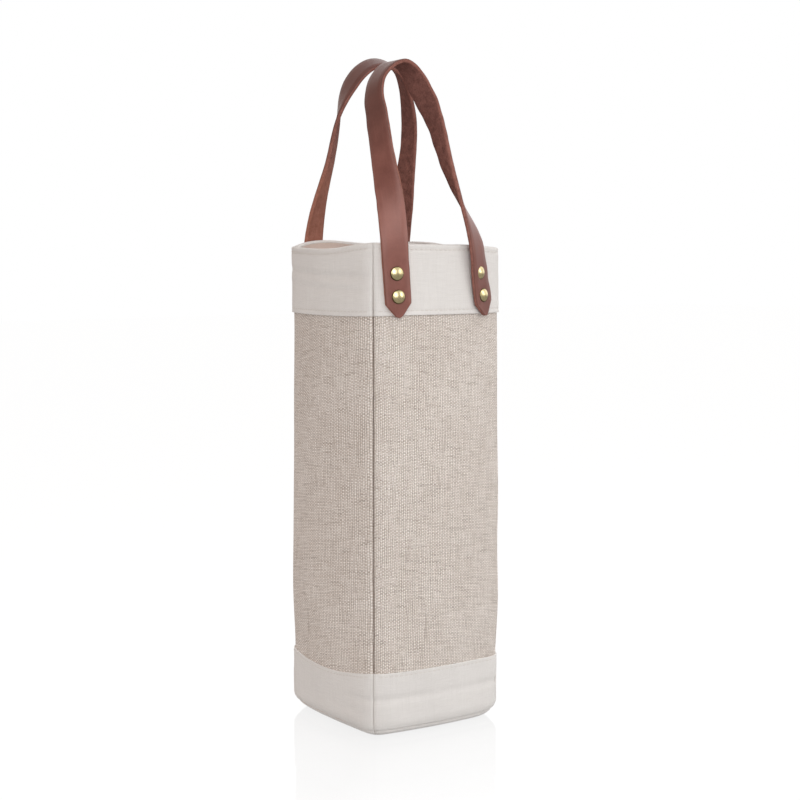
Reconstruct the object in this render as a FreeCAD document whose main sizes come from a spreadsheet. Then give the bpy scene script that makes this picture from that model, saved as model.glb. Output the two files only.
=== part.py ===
# Soft carrier for one wine bottle: a square jute bag with a canvas cuff and a canvas base band,
# a padded and lined wall, a stiffened base, and two riveted leather strap handles.
# Millimetres, Z up, origin under the middle of the base. The front face looks along -Y.
import FreeCAD
import Part
import Sketcher
import math
import os

# Driving dimensions: name, value, meaning. Lengths are in millimetres and turns in degrees.
DIMENSIONS = [
    ("rim_height", 332.6, "floor to the top of the rim"),
    ("bag_width", 122.0, "jute to jute across the middle of two opposite faces"),
    ("face_radius", 180.0, "plan radius of each softly bulging face"),
    ("corner_radius", 15.0, "plan radius of the four corners, on the jute"),
    ("jute_thickness", 1.1, "thickness of the jute cloth"),
    ("canvas_thickness", 1.0, "thickness of the cuff and base canvas"),
    ("padding_thickness", 2.0, "thickness of the wadding in the walls"),
    ("lining_thickness", 0.6, "thickness of the lining cloth"),
    ("cuff_height", 46.7, "outer height of the cuff"),
    ("cuff_facing", 2.0, "how far the cuff turns down inside the mouth"),
    ("cuff_fold", 0.9, "radius of the fold along the rim"),
    ("band_height", 44.0, "floor to the top of the base band"),
    ("base_rounding", 12.5, "radius with which the base band turns under"),
    ("board_thickness", 2.2, "thickness of the stiffening board"),
    ("board_play", 0.5, "room round the stiffening board"),
    ("base_padding", 2.0, "thickness of the wadding on the board"),
    ("base_padding_inset", 6.0, "outer face of the jute in to the edge of that wadding"),
    ("strap_width", 18.5, "width of the leather strap"),
    ("strap_thickness", 2.8, "thickness of the leather strap"),
    ("strap_seat", 0.2, "air between strap end and cuff"),
    ("strap_tip_drop", 48.2, "rim down to the pointed tip of a strap end"),
    ("strap_point", 9.5, "length of the pointed part of a strap end"),
    ("rivet_upper_drop", 18.9, "rim down to the upper rivet"),
    ("rivet_lower_drop", 34.2, "rim down to the lower rivet"),
    ("rivet_cap", 9.4, "diameter of a rivet cap"),
    ("rivet_dome", 2.2, "height of a rivet cap"),
    ("rivet_brim", 0.7, "height of the straight edge of a rivet cap"),
    ("rivet_post", 3.2, "diameter of a rivet post"),
    ("rivet_hole_play", 0.3, "hole diameter beyond the post"),
    ("rivet_back", 9.0, "diameter of a rivet back"),
    ("rivet_back_height", 1.4, "height of a rivet back"),
    ("rivet_back_brim", 0.6, "height of the straight edge of a rivet back"),
    ("rivet_back_seat", 0.1, "air between rivet back and lining"),
    ("flex_rise", 3.0, "rim up to the line where a handle flexes"),
    ("flex_gap", 0.3, "cut between strap end and loop at the flex line"),
    ("flex_out", 1.6, "strap at the middle of a face out to the line about which a handle swings"),
    ("front_tip_left", 25.0, "side of the bag in to the left strap tip of the front handle"),
    ("front_tip_right", 27.0, "side of the bag in to the right strap tip of the front handle"),
    ("front_root_left", 21.3, "side of the bag in to the left root of the front loop"),
    ("front_root_right", 38.4, "side of the bag in to the right root of the front loop"),
    ("front_loop_height", 120.0, "flex line up to the middle of the strap on top of the front loop"),
    ("front_lean", 40.0, "how far the front loop leans in over the mouth"),
    ("back_tip_left", 28.5, "side of the bag in to the left strap tip of the back handle"),
    ("back_tip_right", 20.5, "side of the bag in to the right strap tip of the back handle"),
    ("back_root_left", 31.9, "side of the bag in to the left root of the back loop"),
    ("back_root_right", 20.0, "side of the bag in to the right root of the back loop"),
    ("back_loop_height", 124.7, "flex line up to the middle of the strap on top of the back loop"),
    ("back_lean", 40.0, "how far the back loop leans in over the mouth"),
    ("cut_overrun", 3.0, "how far a drilling tool runs past what it drills"),
]

# Run of each loop from its left leg over the top to its right leg: heights as shares of the loop,
# places across as shares of half the bag's width, and the strap's twist from facing out of the bag.
LOOP_HEIGHT_SHARES = (0.22, 0.46, 0.70, 0.88, 1.0, 0.88, 0.70, 0.46, 0.22)
LOOP_ACROSS_SHARES = {
    "front": (-0.62, -0.62, -0.61, -0.54, -0.16, 0.01, 0.14, 0.20, 0.30),
    "back": (-0.45, -0.38, -0.35, -0.26, 0.02, 0.39, 0.53, 0.61, 0.63),
}
LOOP_TWISTS = {
    "front": (44.0, 70.0, 77.0, 93.0, 90.0, 106.0, 96.0, 76.0, 57.0),
    "back": (37.0, 54.0, 70.0, 100.0, 107.0, 95.0, 85.0, 81.0, 53.0),
}

# Turns in degrees.
ARCH_TURN = {"front": 0.0, "back": -16.0}
INWARD_TURN = 5.5
CORNER_TURN = 45.0
QUARTER_TURN = 90.0
HALF_TURN = 180.0
FULL_TURN = 360.0

# Quarter turns that carry a piece made for the front face to the other faces.
SIDE_TURNS = {"front": 0.0, "right": 90.0, "back": 180.0, "left": 270.0}
HANDLES = ("front", "back")
HANDS = ("left", "right")
RIVET_DROPS = ("rivet_upper_drop", "rivet_lower_drop")

# Plan of the bag as sheet expressions: centre of a face arc, centre of a corner arc on its
# diagonal, and the distance of a corner seam from the middle of the bag.
FACE_CENTRE = "(Dims.face_radius - Dims.bag_width / 2)"
CORNER_CENTRE = (
    "((sqrt(2 * (Dims.face_radius - Dims.corner_radius)^2 - "
    + FACE_CENTRE + "^2) - " + FACE_CENTRE + ") / 2)"
)
SEAM_REACH = "(sqrt(2) * " + CORNER_CENTRE + " + Dims.corner_radius)"

# Depths measured inwards from the outer face of the jute.
UNDER_JUTE = "Dims.jute_thickness"
UNDER_PADDING = "(Dims.jute_thickness + Dims.padding_thickness)"
UNDER_LINING = "(Dims.jute_thickness + Dims.padding_thickness + Dims.lining_thickness)"
ROUNDED_IN = "(Dims.base_rounding - Dims.canvas_thickness)"

# Middle of the strap's thickness at the middle of a face, counted from the middle of the bag.
STRAP_MIDDLE = (
    "(Dims.bag_width / 2 + Dims.canvas_thickness + Dims.strap_seat + Dims.strap_thickness / 2)"
)

# Sketch numbers of a side's points and of the sketch's own axes.
START, END, CENTRE = range(1, 4)
HORIZONTAL_AXIS, VERTICAL_AXIS = range(-1, -3, -1)
Z_AXIS = FreeCAD.Vector(0, 0, 1)


def vector(x, y, z=0.0):
    return FreeCAD.Vector(x, y, z)


doc = FreeCAD.newDocument("bottle_carrier")
sheet = doc.addObject("Spreadsheet::Sheet", "Dims")
for row, (name, value, meaning) in enumerate(DIMENSIONS, start=1):
    sheet.set(f"A{row}", meaning)
    sheet.set(f"B{row}", str(value))
    sheet.setAlias(f"B{row}", name)
doc.recompute()

parts = []


def number(expression):
    """Value of a sheet expression."""
    return float(sheet.evalExpression(expression))


def size(name):
    """Value of one driving dimension."""
    return number("Dims." + name)


def new_body(label):
    body = doc.addObject("PartDesign::Body", label)
    body.Label = label
    return body


def origin_plane(body, role):
    for feature in body.Origin.OriginFeatures:
        if feature.Role == role:
            return feature
    raise RuntimeError("no plane " + role)


def attach(sketch, body, role):
    sketch.AttachmentSupport = [(origin_plane(body, role), "")]
    sketch.MapMode = "FlatFace"


def bind(sketch, constraint, expression):
    """Add a sized constraint and tie its value to the sheet."""
    index = sketch.addConstraint(constraint)
    sketch.setExpression(f"Constraints[{index}]", expression)


def side_placement(side):
    return FreeCAD.Placement(vector(0, 0), FreeCAD.Rotation(Z_AXIS, SIDE_TURNS[side]))


def add_arc(sketch, centre, radius, start, end):
    circle = Part.Circle(centre, Z_AXIS, radius)
    return sketch.addGeometry(
        Part.ArcOfCircle(circle, math.radians(start), math.radians(end)), False
    )


def seam_diagonals(sketch):
    """Two construction lines from the origin to the corner centres of the front face."""
    corner = number(CORNER_CENTRE)
    lines = []
    for sign in (-1, 1):
        line = sketch.addGeometry(
            Part.LineSegment(vector(0, 0), vector(sign * corner, -corner)), True
        )
        sketch.addConstraint(
            Sketcher.Constraint("Coincident", line, START, HORIZONTAL_AXIS, START)
        )
        turn = -HALF_TURN + CORNER_TURN if sign < 0 else -CORNER_TURN
        sketch.addConstraint(
            Sketcher.Constraint("Angle", HORIZONTAL_AXIS, START, line, START, math.radians(turn))
        )
        lines.append(line)
    return lines


def face_chain(sketch, depth, diagonals, concentric=None):
    """Corner arc, face arc and corner arc of the front face at a depth inside the jute face."""
    inset = number(depth)
    face_radius = size("face_radius") - inset
    corner_radius = size("corner_radius") - inset
    corner = number(CORNER_CENTRE)
    middle = vector(0, number(FACE_CENTRE))
    lean = math.degrees(math.atan2(corner, middle.y + corner))
    down = -QUARTER_TURN
    face = add_arc(sketch, middle, face_radius, down - lean, down + lean)
    left = add_arc(sketch, vector(-corner, -corner), corner_radius, down - CORNER_TURN, down - lean)
    right = add_arc(sketch, vector(corner, -corner), corner_radius, down + lean, down + CORNER_TURN)
    sketch.addConstraint(Sketcher.Constraint("Tangent", face, START, left, END))
    sketch.addConstraint(Sketcher.Constraint("Tangent", face, END, right, START))
    if concentric is None:
        sketch.addConstraint(Sketcher.Constraint("PointOnObject", face, CENTRE, VERTICAL_AXIS))
        bind(sketch, Sketcher.Constraint("DistanceY", face, CENTRE, middle.y), FACE_CENTRE)
        bind(
            sketch,
            Sketcher.Constraint("Radius", left, corner_radius),
            f"Dims.corner_radius - ({depth})",
        )
        sketch.addConstraint(Sketcher.Constraint("Equal", left, right))
        for line, arc in zip(diagonals, (left, right)):
            sketch.addConstraint(Sketcher.Constraint("Coincident", line, END, arc, CENTRE))
    else:
        for arc, other in zip((face, left, right), concentric):
            sketch.addConstraint(Sketcher.Constraint("Coincident", arc, CENTRE, other, CENTRE))
    bind(sketch, Sketcher.Constraint("Radius", face, face_radius), f"Dims.face_radius - ({depth})")
    sketch.addConstraint(Sketcher.Constraint("PointOnObject", left, START, diagonals[0]))
    sketch.addConstraint(Sketcher.Constraint("PointOnObject", right, END, diagonals[1]))
    return face, left, right


def wall_panel(label, side, outer, inner, foot, head):
    """One face of a wall layer: a curved strip from seam to seam, padded from foot to head."""
    body = new_body(label)
    sketch = body.newObject("Sketcher::SketchObject", label + "_plan")
    attach(sketch, body, "XY_Plane")
    sketch.setExpression("AttachmentOffset.Base.z", foot)
    diagonals = seam_diagonals(sketch)
    outside = face_chain(sketch, outer, diagonals)
    inside = face_chain(sketch, inner, diagonals, outside)
    for outer_arc, inner_arc, place in zip(outside[1:], inside[1:], (START, END)):
        ends = [sketch.getPoint(arc, place) for arc in (outer_arc, inner_arc)]
        seam = sketch.addGeometry(Part.LineSegment(*ends), False)
        sketch.addConstraint(Sketcher.Constraint("Coincident", seam, START, outer_arc, place))
        sketch.addConstraint(Sketcher.Constraint("Coincident", seam, END, inner_arc, place))
    pad = body.newObject("PartDesign::Pad", label + "_pad")
    pad.Profile = sketch
    pad.setExpression("Length", f"({head}) - ({foot})")
    body.Placement = side_placement(side)
    return body


def closed_outline(sketch, outline, crowns):
    """Closed chain of lines and arcs whose corners are tied to the sheet.

    The outline lists the corners as pairs of sheet expressions. A side named in crowns, by the
    number of its first corner, is an arc over the given point.
    """
    points = [vector(number(x), number(y)) for x, y in outline]
    sides = []
    ends = []
    for index, point in enumerate(points):
        following = points[(index + 1) % len(points)]
        if index in crowns:
            geometry = Part.Arc(point, crowns[index], following)
        else:
            geometry = Part.LineSegment(point, following)
        side = sketch.addGeometry(geometry, False)
        from_start = (sketch.getPoint(side, START) - point).Length
        from_end = (sketch.getPoint(side, END) - point).Length
        ends.append((START, END) if from_start < from_end else (END, START))
        sides.append(side)
    for index, side in enumerate(sides):
        after = (index + 1) % len(sides)
        first, last = ends[index]
        x, y = outline[index]
        sketch.addConstraint(
            Sketcher.Constraint("Coincident", side, last, sides[after], ends[after][0])
        )
        if x == "0":
            sketch.addConstraint(Sketcher.Constraint("PointOnObject", side, first, VERTICAL_AXIS))
        else:
            bind(sketch, Sketcher.Constraint("DistanceX", side, first, points[index].x), x)
        bind(sketch, Sketcher.Constraint("DistanceY", side, first, points[index].y), y)
    return sides


def profile_sketch(body, name, outline, arcs):
    """Closed profile on the plane of the left corner seam.

    Its corners are counted outwards from the jute at the seam and upwards from the floor. A side
    named in arcs is a quarter round with the given centre.
    """
    sketch = body.newObject("Sketcher::SketchObject", name)
    attach(sketch, body, "XZ_Plane")
    turn = FreeCAD.Rotation(vector(0, 1, 0), HALF_TURN + CORNER_TURN)
    sketch.AttachmentOffset = FreeCAD.Placement(vector(0, 0), turn)
    corners = [(f"{SEAM_REACH} + ({x})", y) for x, y in outline]
    crowns = {}
    for index, (x, y) in arcs.items():
        ends = [corners[index], corners[(index + 1) % len(corners)]]
        first, last = [vector(number(across), number(up)) for across, up in ends]
        centre = vector(number(f"{SEAM_REACH} + ({x})"), number(y))
        aim = (first + last) / 2 - centre
        aim.normalize()
        crowns[index] = centre + aim * (first - centre).Length
    sides = closed_outline(sketch, corners, crowns)
    for index, (x, y) in arcs.items():
        bind(sketch, Sketcher.Constraint("DistanceY", sides[index], CENTRE, number(y)), y)
    return sketch


def wall_sweep(label, side, outline, arcs):
    """A folded canvas strip: a profile carried along one face from seam to seam."""
    body = new_body(label)
    path = body.newObject("Sketcher::SketchObject", label + "_path")
    attach(path, body, "XY_Plane")
    face, left, right = face_chain(path, "0", seam_diagonals(path))
    profile = profile_sketch(body, label + "_profile", outline, arcs)
    doc.recompute()
    pipe = body.newObject("PartDesign::AdditivePipe", label + "_sweep")
    pipe.Profile = profile
    pipe.Spine = (path, [f"Edge{i + 1}" for i in range(len(path.Shape.Edges))])
    body.Placement = side_placement(side)
    return body


def plate(label, depth, foot, thickness):
    """A flat plate with the plan of the bag, drawn in by a depth."""
    body = new_body(label)
    sketch = body.newObject("Sketcher::SketchObject", label + "_plan")
    attach(sketch, body, "XY_Plane")
    sketch.setExpression("AttachmentOffset.Base.z", foot)
    inset = number(depth)
    face_radius = size("face_radius") - inset
    corner_radius = size("corner_radius") - inset
    corner = number(CORNER_CENTRE)
    reach = number(FACE_CENTRE)
    lean = math.degrees(math.atan2(corner, reach + corner))
    faces = []
    corners = []
    for turn in SIDE_TURNS.values():
        aim = turn - QUARTER_TURN
        spin = FreeCAD.Rotation(Z_AXIS, turn)
        faces.append(
            add_arc(sketch, spin.multVec(vector(0, reach)), face_radius, aim - lean, aim + lean)
        )
        centre = spin.multVec(vector(corner, -corner))
        corners.append(
            add_arc(sketch, centre, corner_radius, aim + lean, aim + QUARTER_TURN - lean)
        )
    for index, face in enumerate(faces):
        following = faces[(index + 1) % len(faces)]
        sketch.addConstraint(Sketcher.Constraint("Tangent", face, END, corners[index], START))
        sketch.addConstraint(Sketcher.Constraint("Tangent", corners[index], END, following, START))
        across = index % 2 == 1
        axis = HORIZONTAL_AXIS if across else VERTICAL_AXIS
        sketch.addConstraint(Sketcher.Constraint("PointOnObject", face, CENTRE, axis))
        centre = sketch.getPoint(face, CENTRE)
        kind, place = ("DistanceX", centre.x) if across else ("DistanceY", centre.y)
        sign = "-" if place < 0 else ""
        bind(sketch, Sketcher.Constraint(kind, face, CENTRE, place), sign + FACE_CENTRE)
        bind(
            sketch,
            Sketcher.Constraint("Radius", face, face_radius),
            f"Dims.face_radius - ({depth})",
        )
        bind(
            sketch,
            Sketcher.Constraint("Radius", corners[index], corner_radius),
            f"Dims.corner_radius - ({depth})",
        )
    pad = body.newObject("PartDesign::Pad", label + "_pad")
    pad.Profile = sketch
    pad.setExpression("Length", thickness)
    return body


class StrapEnd:
    """Seat of one riveted strap end: its place on the cuff and its own three directions."""

    def __init__(self, face, hand):
        mirror = 1 if face == "front" else -1
        sign = (-1 if hand == "left" else 1) * mirror
        tip = sign * (size("bag_width") / 2 - size(f"{face}_tip_{hand}"))
        root = sign * (size("bag_width") / 2 - size(f"{face}_root_{hand}"))
        rivets = (size("rivet_upper_drop") + size("rivet_lower_drop")) / 2
        length = size("strap_tip_drop") + size("flex_rise")
        self.slant = math.atan2(tip - root, length)
        across = tip + (root - tip) * (size("strap_tip_drop") - rivets) / length
        outer = size("face_radius") + size("canvas_thickness")
        turn = math.asin(across / outer)
        self.turn = math.degrees(turn)
        outward = vector(math.sin(turn), -math.cos(turn))
        level = vector(math.cos(turn), math.sin(turn))
        self.side = SIDE_TURNS[face]
        spin = FreeCAD.Rotation(Z_AXIS, self.side)
        skin = vector(0, number(FACE_CENTRE)) + outward * outer
        self.middle = size("rim_height") - rivets
        self.outward = spin.multVec(outward)
        self.along = spin.multVec(Z_AXIS * math.cos(self.slant) - level * math.sin(self.slant))
        self.across = spin.multVec(level * math.cos(self.slant) + Z_AXIS * math.sin(self.slant))
        self.skin = spin.multVec(skin + Z_AXIS * self.middle)
        turned = FreeCAD.Rotation(self.across, self.along, self.outward, "ZXY")
        self.placement = FreeCAD.Placement(self.skin + self.outward * size("strap_seat"), turned)

    def point(self, height, depth):
        """Point on the centre line at a height above the floor and a distance off the skin."""
        reach = (height - self.middle) / math.cos(self.slant)
        return self.skin + self.along * reach + self.outward * depth


def strap_end(label, seat):
    """Flat strap end with a pointed tip and two rivet holes, drawn round the rivets' middle."""
    body = new_body(label)
    sketch = body.newObject("Sketcher::SketchObject", label + "_outline")
    attach(sketch, body, "XY_Plane")
    rivets = "((Dims.rivet_upper_drop + Dims.rivet_lower_drop) / 2)"
    stretch = 1 / math.cos(seat.slant)
    skew = math.tan(seat.slant)
    top = f"(({rivets} + Dims.flex_rise - Dims.flex_gap / 2) * {stretch})"
    tip = f"((Dims.strap_tip_drop - {rivets}) * {stretch})"
    half = "(Dims.strap_width / 2)"
    outline = [
        (half, f"{top} - {half} * ({skew})"),
        (f"-{half}", f"{top} + {half} * ({skew})"),
        (f"-{half}", f"Dims.strap_point - {tip}"),
        ("0", f"-{tip}"),
        (half, f"Dims.strap_point - {tip}"),
    ]
    closed_outline(sketch, outline, {})
    for drop in RIVET_DROPS:
        place = f"(({rivets} - Dims.{drop}) * {stretch})"
        radius = "(Dims.rivet_post + Dims.rivet_hole_play) / 2"
        hole = sketch.addGeometry(
            Part.Circle(vector(0, number(place)), Z_AXIS, number(radius)), False
        )
        sketch.addConstraint(Sketcher.Constraint("PointOnObject", hole, CENTRE, VERTICAL_AXIS))
        bind(sketch, Sketcher.Constraint("DistanceY", hole, CENTRE, number(place)), place)
        bind(sketch, Sketcher.Constraint("Radius", hole, number(radius)), radius)
    pad = body.newObject("PartDesign::Pad", label + "_pad")
    pad.Profile = sketch
    pad.setExpression("Length", "Dims.strap_thickness")
    body.Placement = seat.placement
    return body


def turned_body(label, outline, arcs):
    """Body turned round its own Z axis from a half outline; arcs hold a middle point by side."""
    body = new_body(label)
    sketch = body.newObject("Sketcher::SketchObject", label + "_outline")
    attach(sketch, body, "XZ_Plane")
    crowns = {index: vector(number(x), number(y)) for index, (x, y) in arcs.items()}
    sides = closed_outline(sketch, outline, crowns)
    for index in arcs:
        sketch.addConstraint(
            Sketcher.Constraint("PointOnObject", sides[index], CENTRE, VERTICAL_AXIS)
        )
    turn = body.newObject("PartDesign::Revolution", label + "_turn")
    turn.Profile = sketch
    turn.ReferenceAxis = (sketch, ["V_Axis"])
    turn.Angle = FULL_TURN
    return body


def dome_middle(radius, brim, crown):
    """Expressions of a point half way up a dome over a brim."""
    rise = f"(({crown}) - ({brim}))"
    ball = f"((({radius})^2 + {rise}^2) / (2 * {rise}))"
    x = f"(({radius}) / 2)"
    return x, f"(({crown}) - {ball} + sqrt({ball}^2 - {x}^2))"


def group(label, shape, placements):
    """Identical solids as one named group."""
    copies = []
    for placement in placements:
        copy = shape.copy()
        copy.Placement = placement.multiply(shape.Placement)
        copies.append(copy)
    feature = doc.addObject("Part::Feature", label)
    feature.Label = label
    feature.Shape = Part.makeCompound(copies)
    return feature


def drilled(label, panel, drills):
    cut = doc.addObject("Part::Cut", label)
    cut.Label = label
    cut.Base = panel
    cut.Tool = drills
    return cut


def loop_points(face, seats):
    """Centre line of a loop with, for each point, its outward direction and its twist."""
    mirror = 1 if face == "front" else -1
    skin = number(STRAP_MIDDLE)
    outward = vector(0, -mirror)
    flex_height = size("rim_height") + size("flex_rise")
    flex_reach = skin + size("flex_out")
    roots = []
    for hand in HANDS:
        foot = flex_height + size("flex_gap") / 2
        root = seats[hand].point(foot, size("strap_seat") + size("strap_thickness") / 2)
        root.z += (flex_reach - abs(root.y)) * math.tan(math.radians(INWARD_TURN))
        roots.append((root, outward, abs(seats[hand].turn)))
    across_shares = LOOP_ACROSS_SHARES[face]
    half_way = len(across_shares) // 2
    top = outward * (skin - size(f"{face}_lean"))
    top.x = across_shares[half_way] * size("bag_width") / 2
    stations = []
    for index, share in enumerate(LOOP_HEIGHT_SHARES):
        root = roots[0 if index < half_way else 1][0]
        spin = FreeCAD.Rotation(Z_AXIS, ARCH_TURN[face] * share)
        drift = vector(top.x * share, root.y + (top.y - root.y) * share)
        across = vector(across_shares[index] * size("bag_width") / 2 - drift.x, 0)
        rise = Z_AXIS * (flex_height + size(f"{face}_loop_height") * share)
        place = drift + spin.multVec(across) + rise
        stations.append((place, spin.multVec(outward), LOOP_TWISTS[face][index]))
    return roots[:1] + stations + roots[1:]


def handle_loop(label, face, seats):
    """Twisted leather loop lofted through strap sections set square to its centre line."""
    places, outwards, twists = zip(*loop_points(face, seats))
    runs = [0.0]
    for start, end in zip(places, places[1:]):
        runs.append(runs[-1] + (end - start).Length)
    spine = Part.BSplineCurve()
    spine.interpolate(Points=list(places), Parameters=runs)
    turning = Part.BSplineCurve()
    turning.interpolate(
        Points=[outward + Z_AXIS * twist for outward, twist in zip(outwards, twists)], Parameters=runs
    )
    width = size("strap_width")
    thickness = size("strap_thickness")
    middle = (places[len(places) // 2] * 2 + places[0] + places[-1]) / 4
    sections = []
    for run in sorted(runs + [(start + end) / 2 for start, end in zip(runs, runs[1:])]):
        place = spine.value(run)
        tangent = spine.tangent(run)[0]
        outward = turning.value(run)
        angle = math.radians(outward.z)
        outward.z = 0.0
        if run in (runs[0], runs[-1]):
            slope = FreeCAD.Rotation(Z_AXIS.cross(outward), INWARD_TURN)
            tangent = slope.multVec(Z_AXIS) * (1 if run == runs[0] else -1)
        facing = outward - tangent * outward.dot(tangent)
        facing.normalize()
        around = facing.cross(tangent)
        if around.dot(place - middle) < 0:
            around = -around
        normal = facing * math.cos(angle) + around * math.sin(angle)
        breadth = normal.cross(tangent)
        plane = doc.addObject("Part::Plane", f"{label}_section_{len(sections)}")
        plane.setExpression("Length", "Dims.strap_width")
        plane.setExpression("Width", "Dims.strap_thickness")
        turned = FreeCAD.Rotation(breadth, normal, tangent, "ZXY")
        corner = place - breadth * (width / 2) - normal * (thickness / 2)
        plane.Placement = FreeCAD.Placement(corner, turned)
        sections.append(plane)
    loft = doc.addObject("Part::Loft", label)
    loft.Label = label
    loft.Sections = sections
    loft.Solid = True
    loft.Ruled = False
    return loft


# Seats of the four strap ends and the rivets' places on them.
seats = {face: {hand: StrapEnd(face, hand) for hand in HANDS} for face in HANDLES}


def rivet_placements(face):
    placements = []
    for hand in HANDS:
        seat = seats[face][hand]
        for drop in RIVET_DROPS:
            height = size("rim_height") - size(drop)
            base = seat.point(height, size("strap_seat") + size("strap_thickness"))
            placements.append(FreeCAD.Placement(base, seat.placement.Rotation))
    return placements


# Walls: jute outside, wadding, then lining, each sewn from four panels.
CUFF_TOP = "(Dims.rim_height - Dims.canvas_thickness)"
BOARD_TOP = "(Dims.canvas_thickness + Dims.board_thickness)"
PADDING_TOP = f"({BOARD_TOP} + Dims.base_padding)"
walls = {}
for side in SIDE_TURNS:
    walls["jute", side] = wall_panel(
        f"jute_{side}", side, "0", UNDER_JUTE, "Dims.base_rounding", CUFF_TOP
    )
    walls["padding", side] = wall_panel(
        f"padding_{side}", side, UNDER_JUTE, UNDER_PADDING, "Dims.base_rounding", CUFF_TOP
    )
    walls["lining", side] = wall_panel(
        f"lining_{side}",
        side,
        UNDER_PADDING,
        UNDER_LINING,
        f"{PADDING_TOP} + Dims.lining_thickness",
        "Dims.rim_height - Dims.cuff_facing",
    )

    # Cuff: up the outside, folded over the rim and a little way down the inside.
    inner = f"-{UNDER_LINING}"
    cuff_foot = "Dims.rim_height - Dims.cuff_height"
    facing_foot = "Dims.rim_height - Dims.cuff_facing"
    fold = "Dims.rim_height - Dims.cuff_fold"
    walls["cuff", side] = wall_sweep(
        f"cuff_{side}",
        side,
        [
            ("Dims.canvas_thickness", cuff_foot),
            ("Dims.canvas_thickness", fold),
            ("Dims.canvas_thickness - Dims.cuff_fold", "Dims.rim_height"),
            (f"{inner} + Dims.cuff_fold", "Dims.rim_height"),
            (inner, fold),
            (inner, facing_foot),
            (f"-{UNDER_PADDING}", facing_foot),
            (f"-{UNDER_PADDING}", CUFF_TOP),
            ("0", CUFF_TOP),
            ("0", cuff_foot),
        ],
        {1: ("Dims.canvas_thickness - Dims.cuff_fold", fold), 3: (f"{inner} + Dims.cuff_fold", fold)},
    )

    # Base band: down the outside and rounded under to meet the base panel.
    under = "Dims.canvas_thickness - Dims.base_rounding"
    walls["base_band", side] = wall_sweep(
        f"base_band_{side}",
        side,
        [
            ("Dims.canvas_thickness", "Dims.band_height"),
            ("Dims.canvas_thickness", "Dims.base_rounding"),
            (under, "0"),
            (under, "Dims.canvas_thickness"),
            ("0", "Dims.base_rounding"),
            ("0", "Dims.band_height"),
        ],
        {1: (under, "Dims.base_rounding"), 3: (under, "Dims.base_rounding")},
    )

base_panel = plate("base_panel", ROUNDED_IN, "0", "Dims.canvas_thickness")
base_board = plate(
    "base_board", f"{ROUNDED_IN} + Dims.board_play", "Dims.canvas_thickness", "Dims.board_thickness"
)
base_padding = plate("padding_base", "Dims.base_padding_inset", BOARD_TOP, "Dims.base_padding")
lining_base = plate("lining_base", UNDER_PADDING, PADDING_TOP, "Dims.lining_thickness")
parts += [base_panel, base_board, base_padding, lining_base]

# Rivets: a domed cap with its post, and a low dome pressed on inside the bag.
STACK = (
    "(Dims.strap_thickness + Dims.strap_seat + Dims.canvas_thickness + "
    + UNDER_LINING + " + Dims.rivet_back_seat)"
)
cap = turned_body(
    "rivet_cap_shape",
    [
        ("0", "Dims.rivet_dome"),
        ("0", f"-{STACK}"),
        ("Dims.rivet_post / 2", f"-{STACK}"),
        ("Dims.rivet_post / 2", "0"),
        ("Dims.rivet_cap / 2", "0"),
        ("Dims.rivet_cap / 2", "Dims.rivet_brim"),
    ],
    {5: dome_middle("Dims.rivet_cap / 2", "Dims.rivet_brim", "Dims.rivet_dome")},
)
back_middle = dome_middle("Dims.rivet_back / 2", "Dims.rivet_back_brim", "Dims.rivet_back_height")
back = turned_body(
    "rivet_back_shape",
    [
        ("0", f"-{STACK} - Dims.rivet_back_height"),
        ("Dims.rivet_back / 2", f"-{STACK} - Dims.rivet_back_brim"),
        ("Dims.rivet_back / 2", f"-{STACK}"),
        ("0", f"-{STACK}"),
    ],
    {0: (back_middle[0], f"-{STACK} - {back_middle[1]}")},
)
doc.recompute()

# Handles: riveted ends, rivets, and the loop between the two flex lines.
for face in HANDLES:
    placements = rivet_placements(face)
    tools = []
    for index, placement in enumerate(placements):
        drill = doc.addObject("Part::Cylinder", f"drill_{face}_{index}")
        drill.setExpression("Radius", "(Dims.rivet_post + Dims.rivet_hole_play) / 2")
        drill.setExpression("Height", f"{STACK} + 2 * Dims.cut_overrun")
        depth = number(STACK) + size("cut_overrun")
        foot = placement.Base - placement.Rotation.multVec(Z_AXIS) * depth
        drill.Placement = FreeCAD.Placement(foot, placement.Rotation)
        tools.append(drill)
    drills = doc.addObject("Part::MultiFuse", f"drills_{face}")
    drills.Shapes = tools
    for layer in ("cuff", "jute", "padding", "lining"):
        panel = walls[layer, face]
        panel.Label = f"{layer}_{face}_undrilled"
        walls[layer, face] = drilled(f"{layer}_{face}_drilled", panel, drills)
        walls[layer, face].Label = f"{layer}_{face}"
    for hand in HANDS:
        parts.append(strap_end(f"strap_end_{face}_{hand}", seats[face][hand]))
    parts.append(handle_loop(f"handle_loop_{face}", face, seats[face]))
    parts.append(group(f"rivet_caps_{face}", cap.Shape, placements))
    parts.append(group(f"rivet_backs_{face}", back.Shape, placements))
parts += list(walls.values())

doc.recompute()
os.makedirs("parts", exist_ok=True)
for item in doc.Objects:
    if "Invalid" in item.State or "Error" in item.State:
        raise RuntimeError(f"{item.Label} did not rebuild: {item.State}")
for part in parts:
    if part.Shape.isNull() or not part.Shape.isValid():
        raise RuntimeError(f"{part.Label} has no valid shape")
    part.Shape.exportStep(f"parts/{part.Label}.step")
    print(f"{part.Label}: {len(part.Shape.Solids)} solids, {part.Shape.Volume:.0f} mm3")
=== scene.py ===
"""Looks of a soft carrier for one wine bottle, built round its packed construction. Metres, Z up."""
import math

import bpy
import numpy as np
from mathutils import Matrix, Vector, noise


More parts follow.
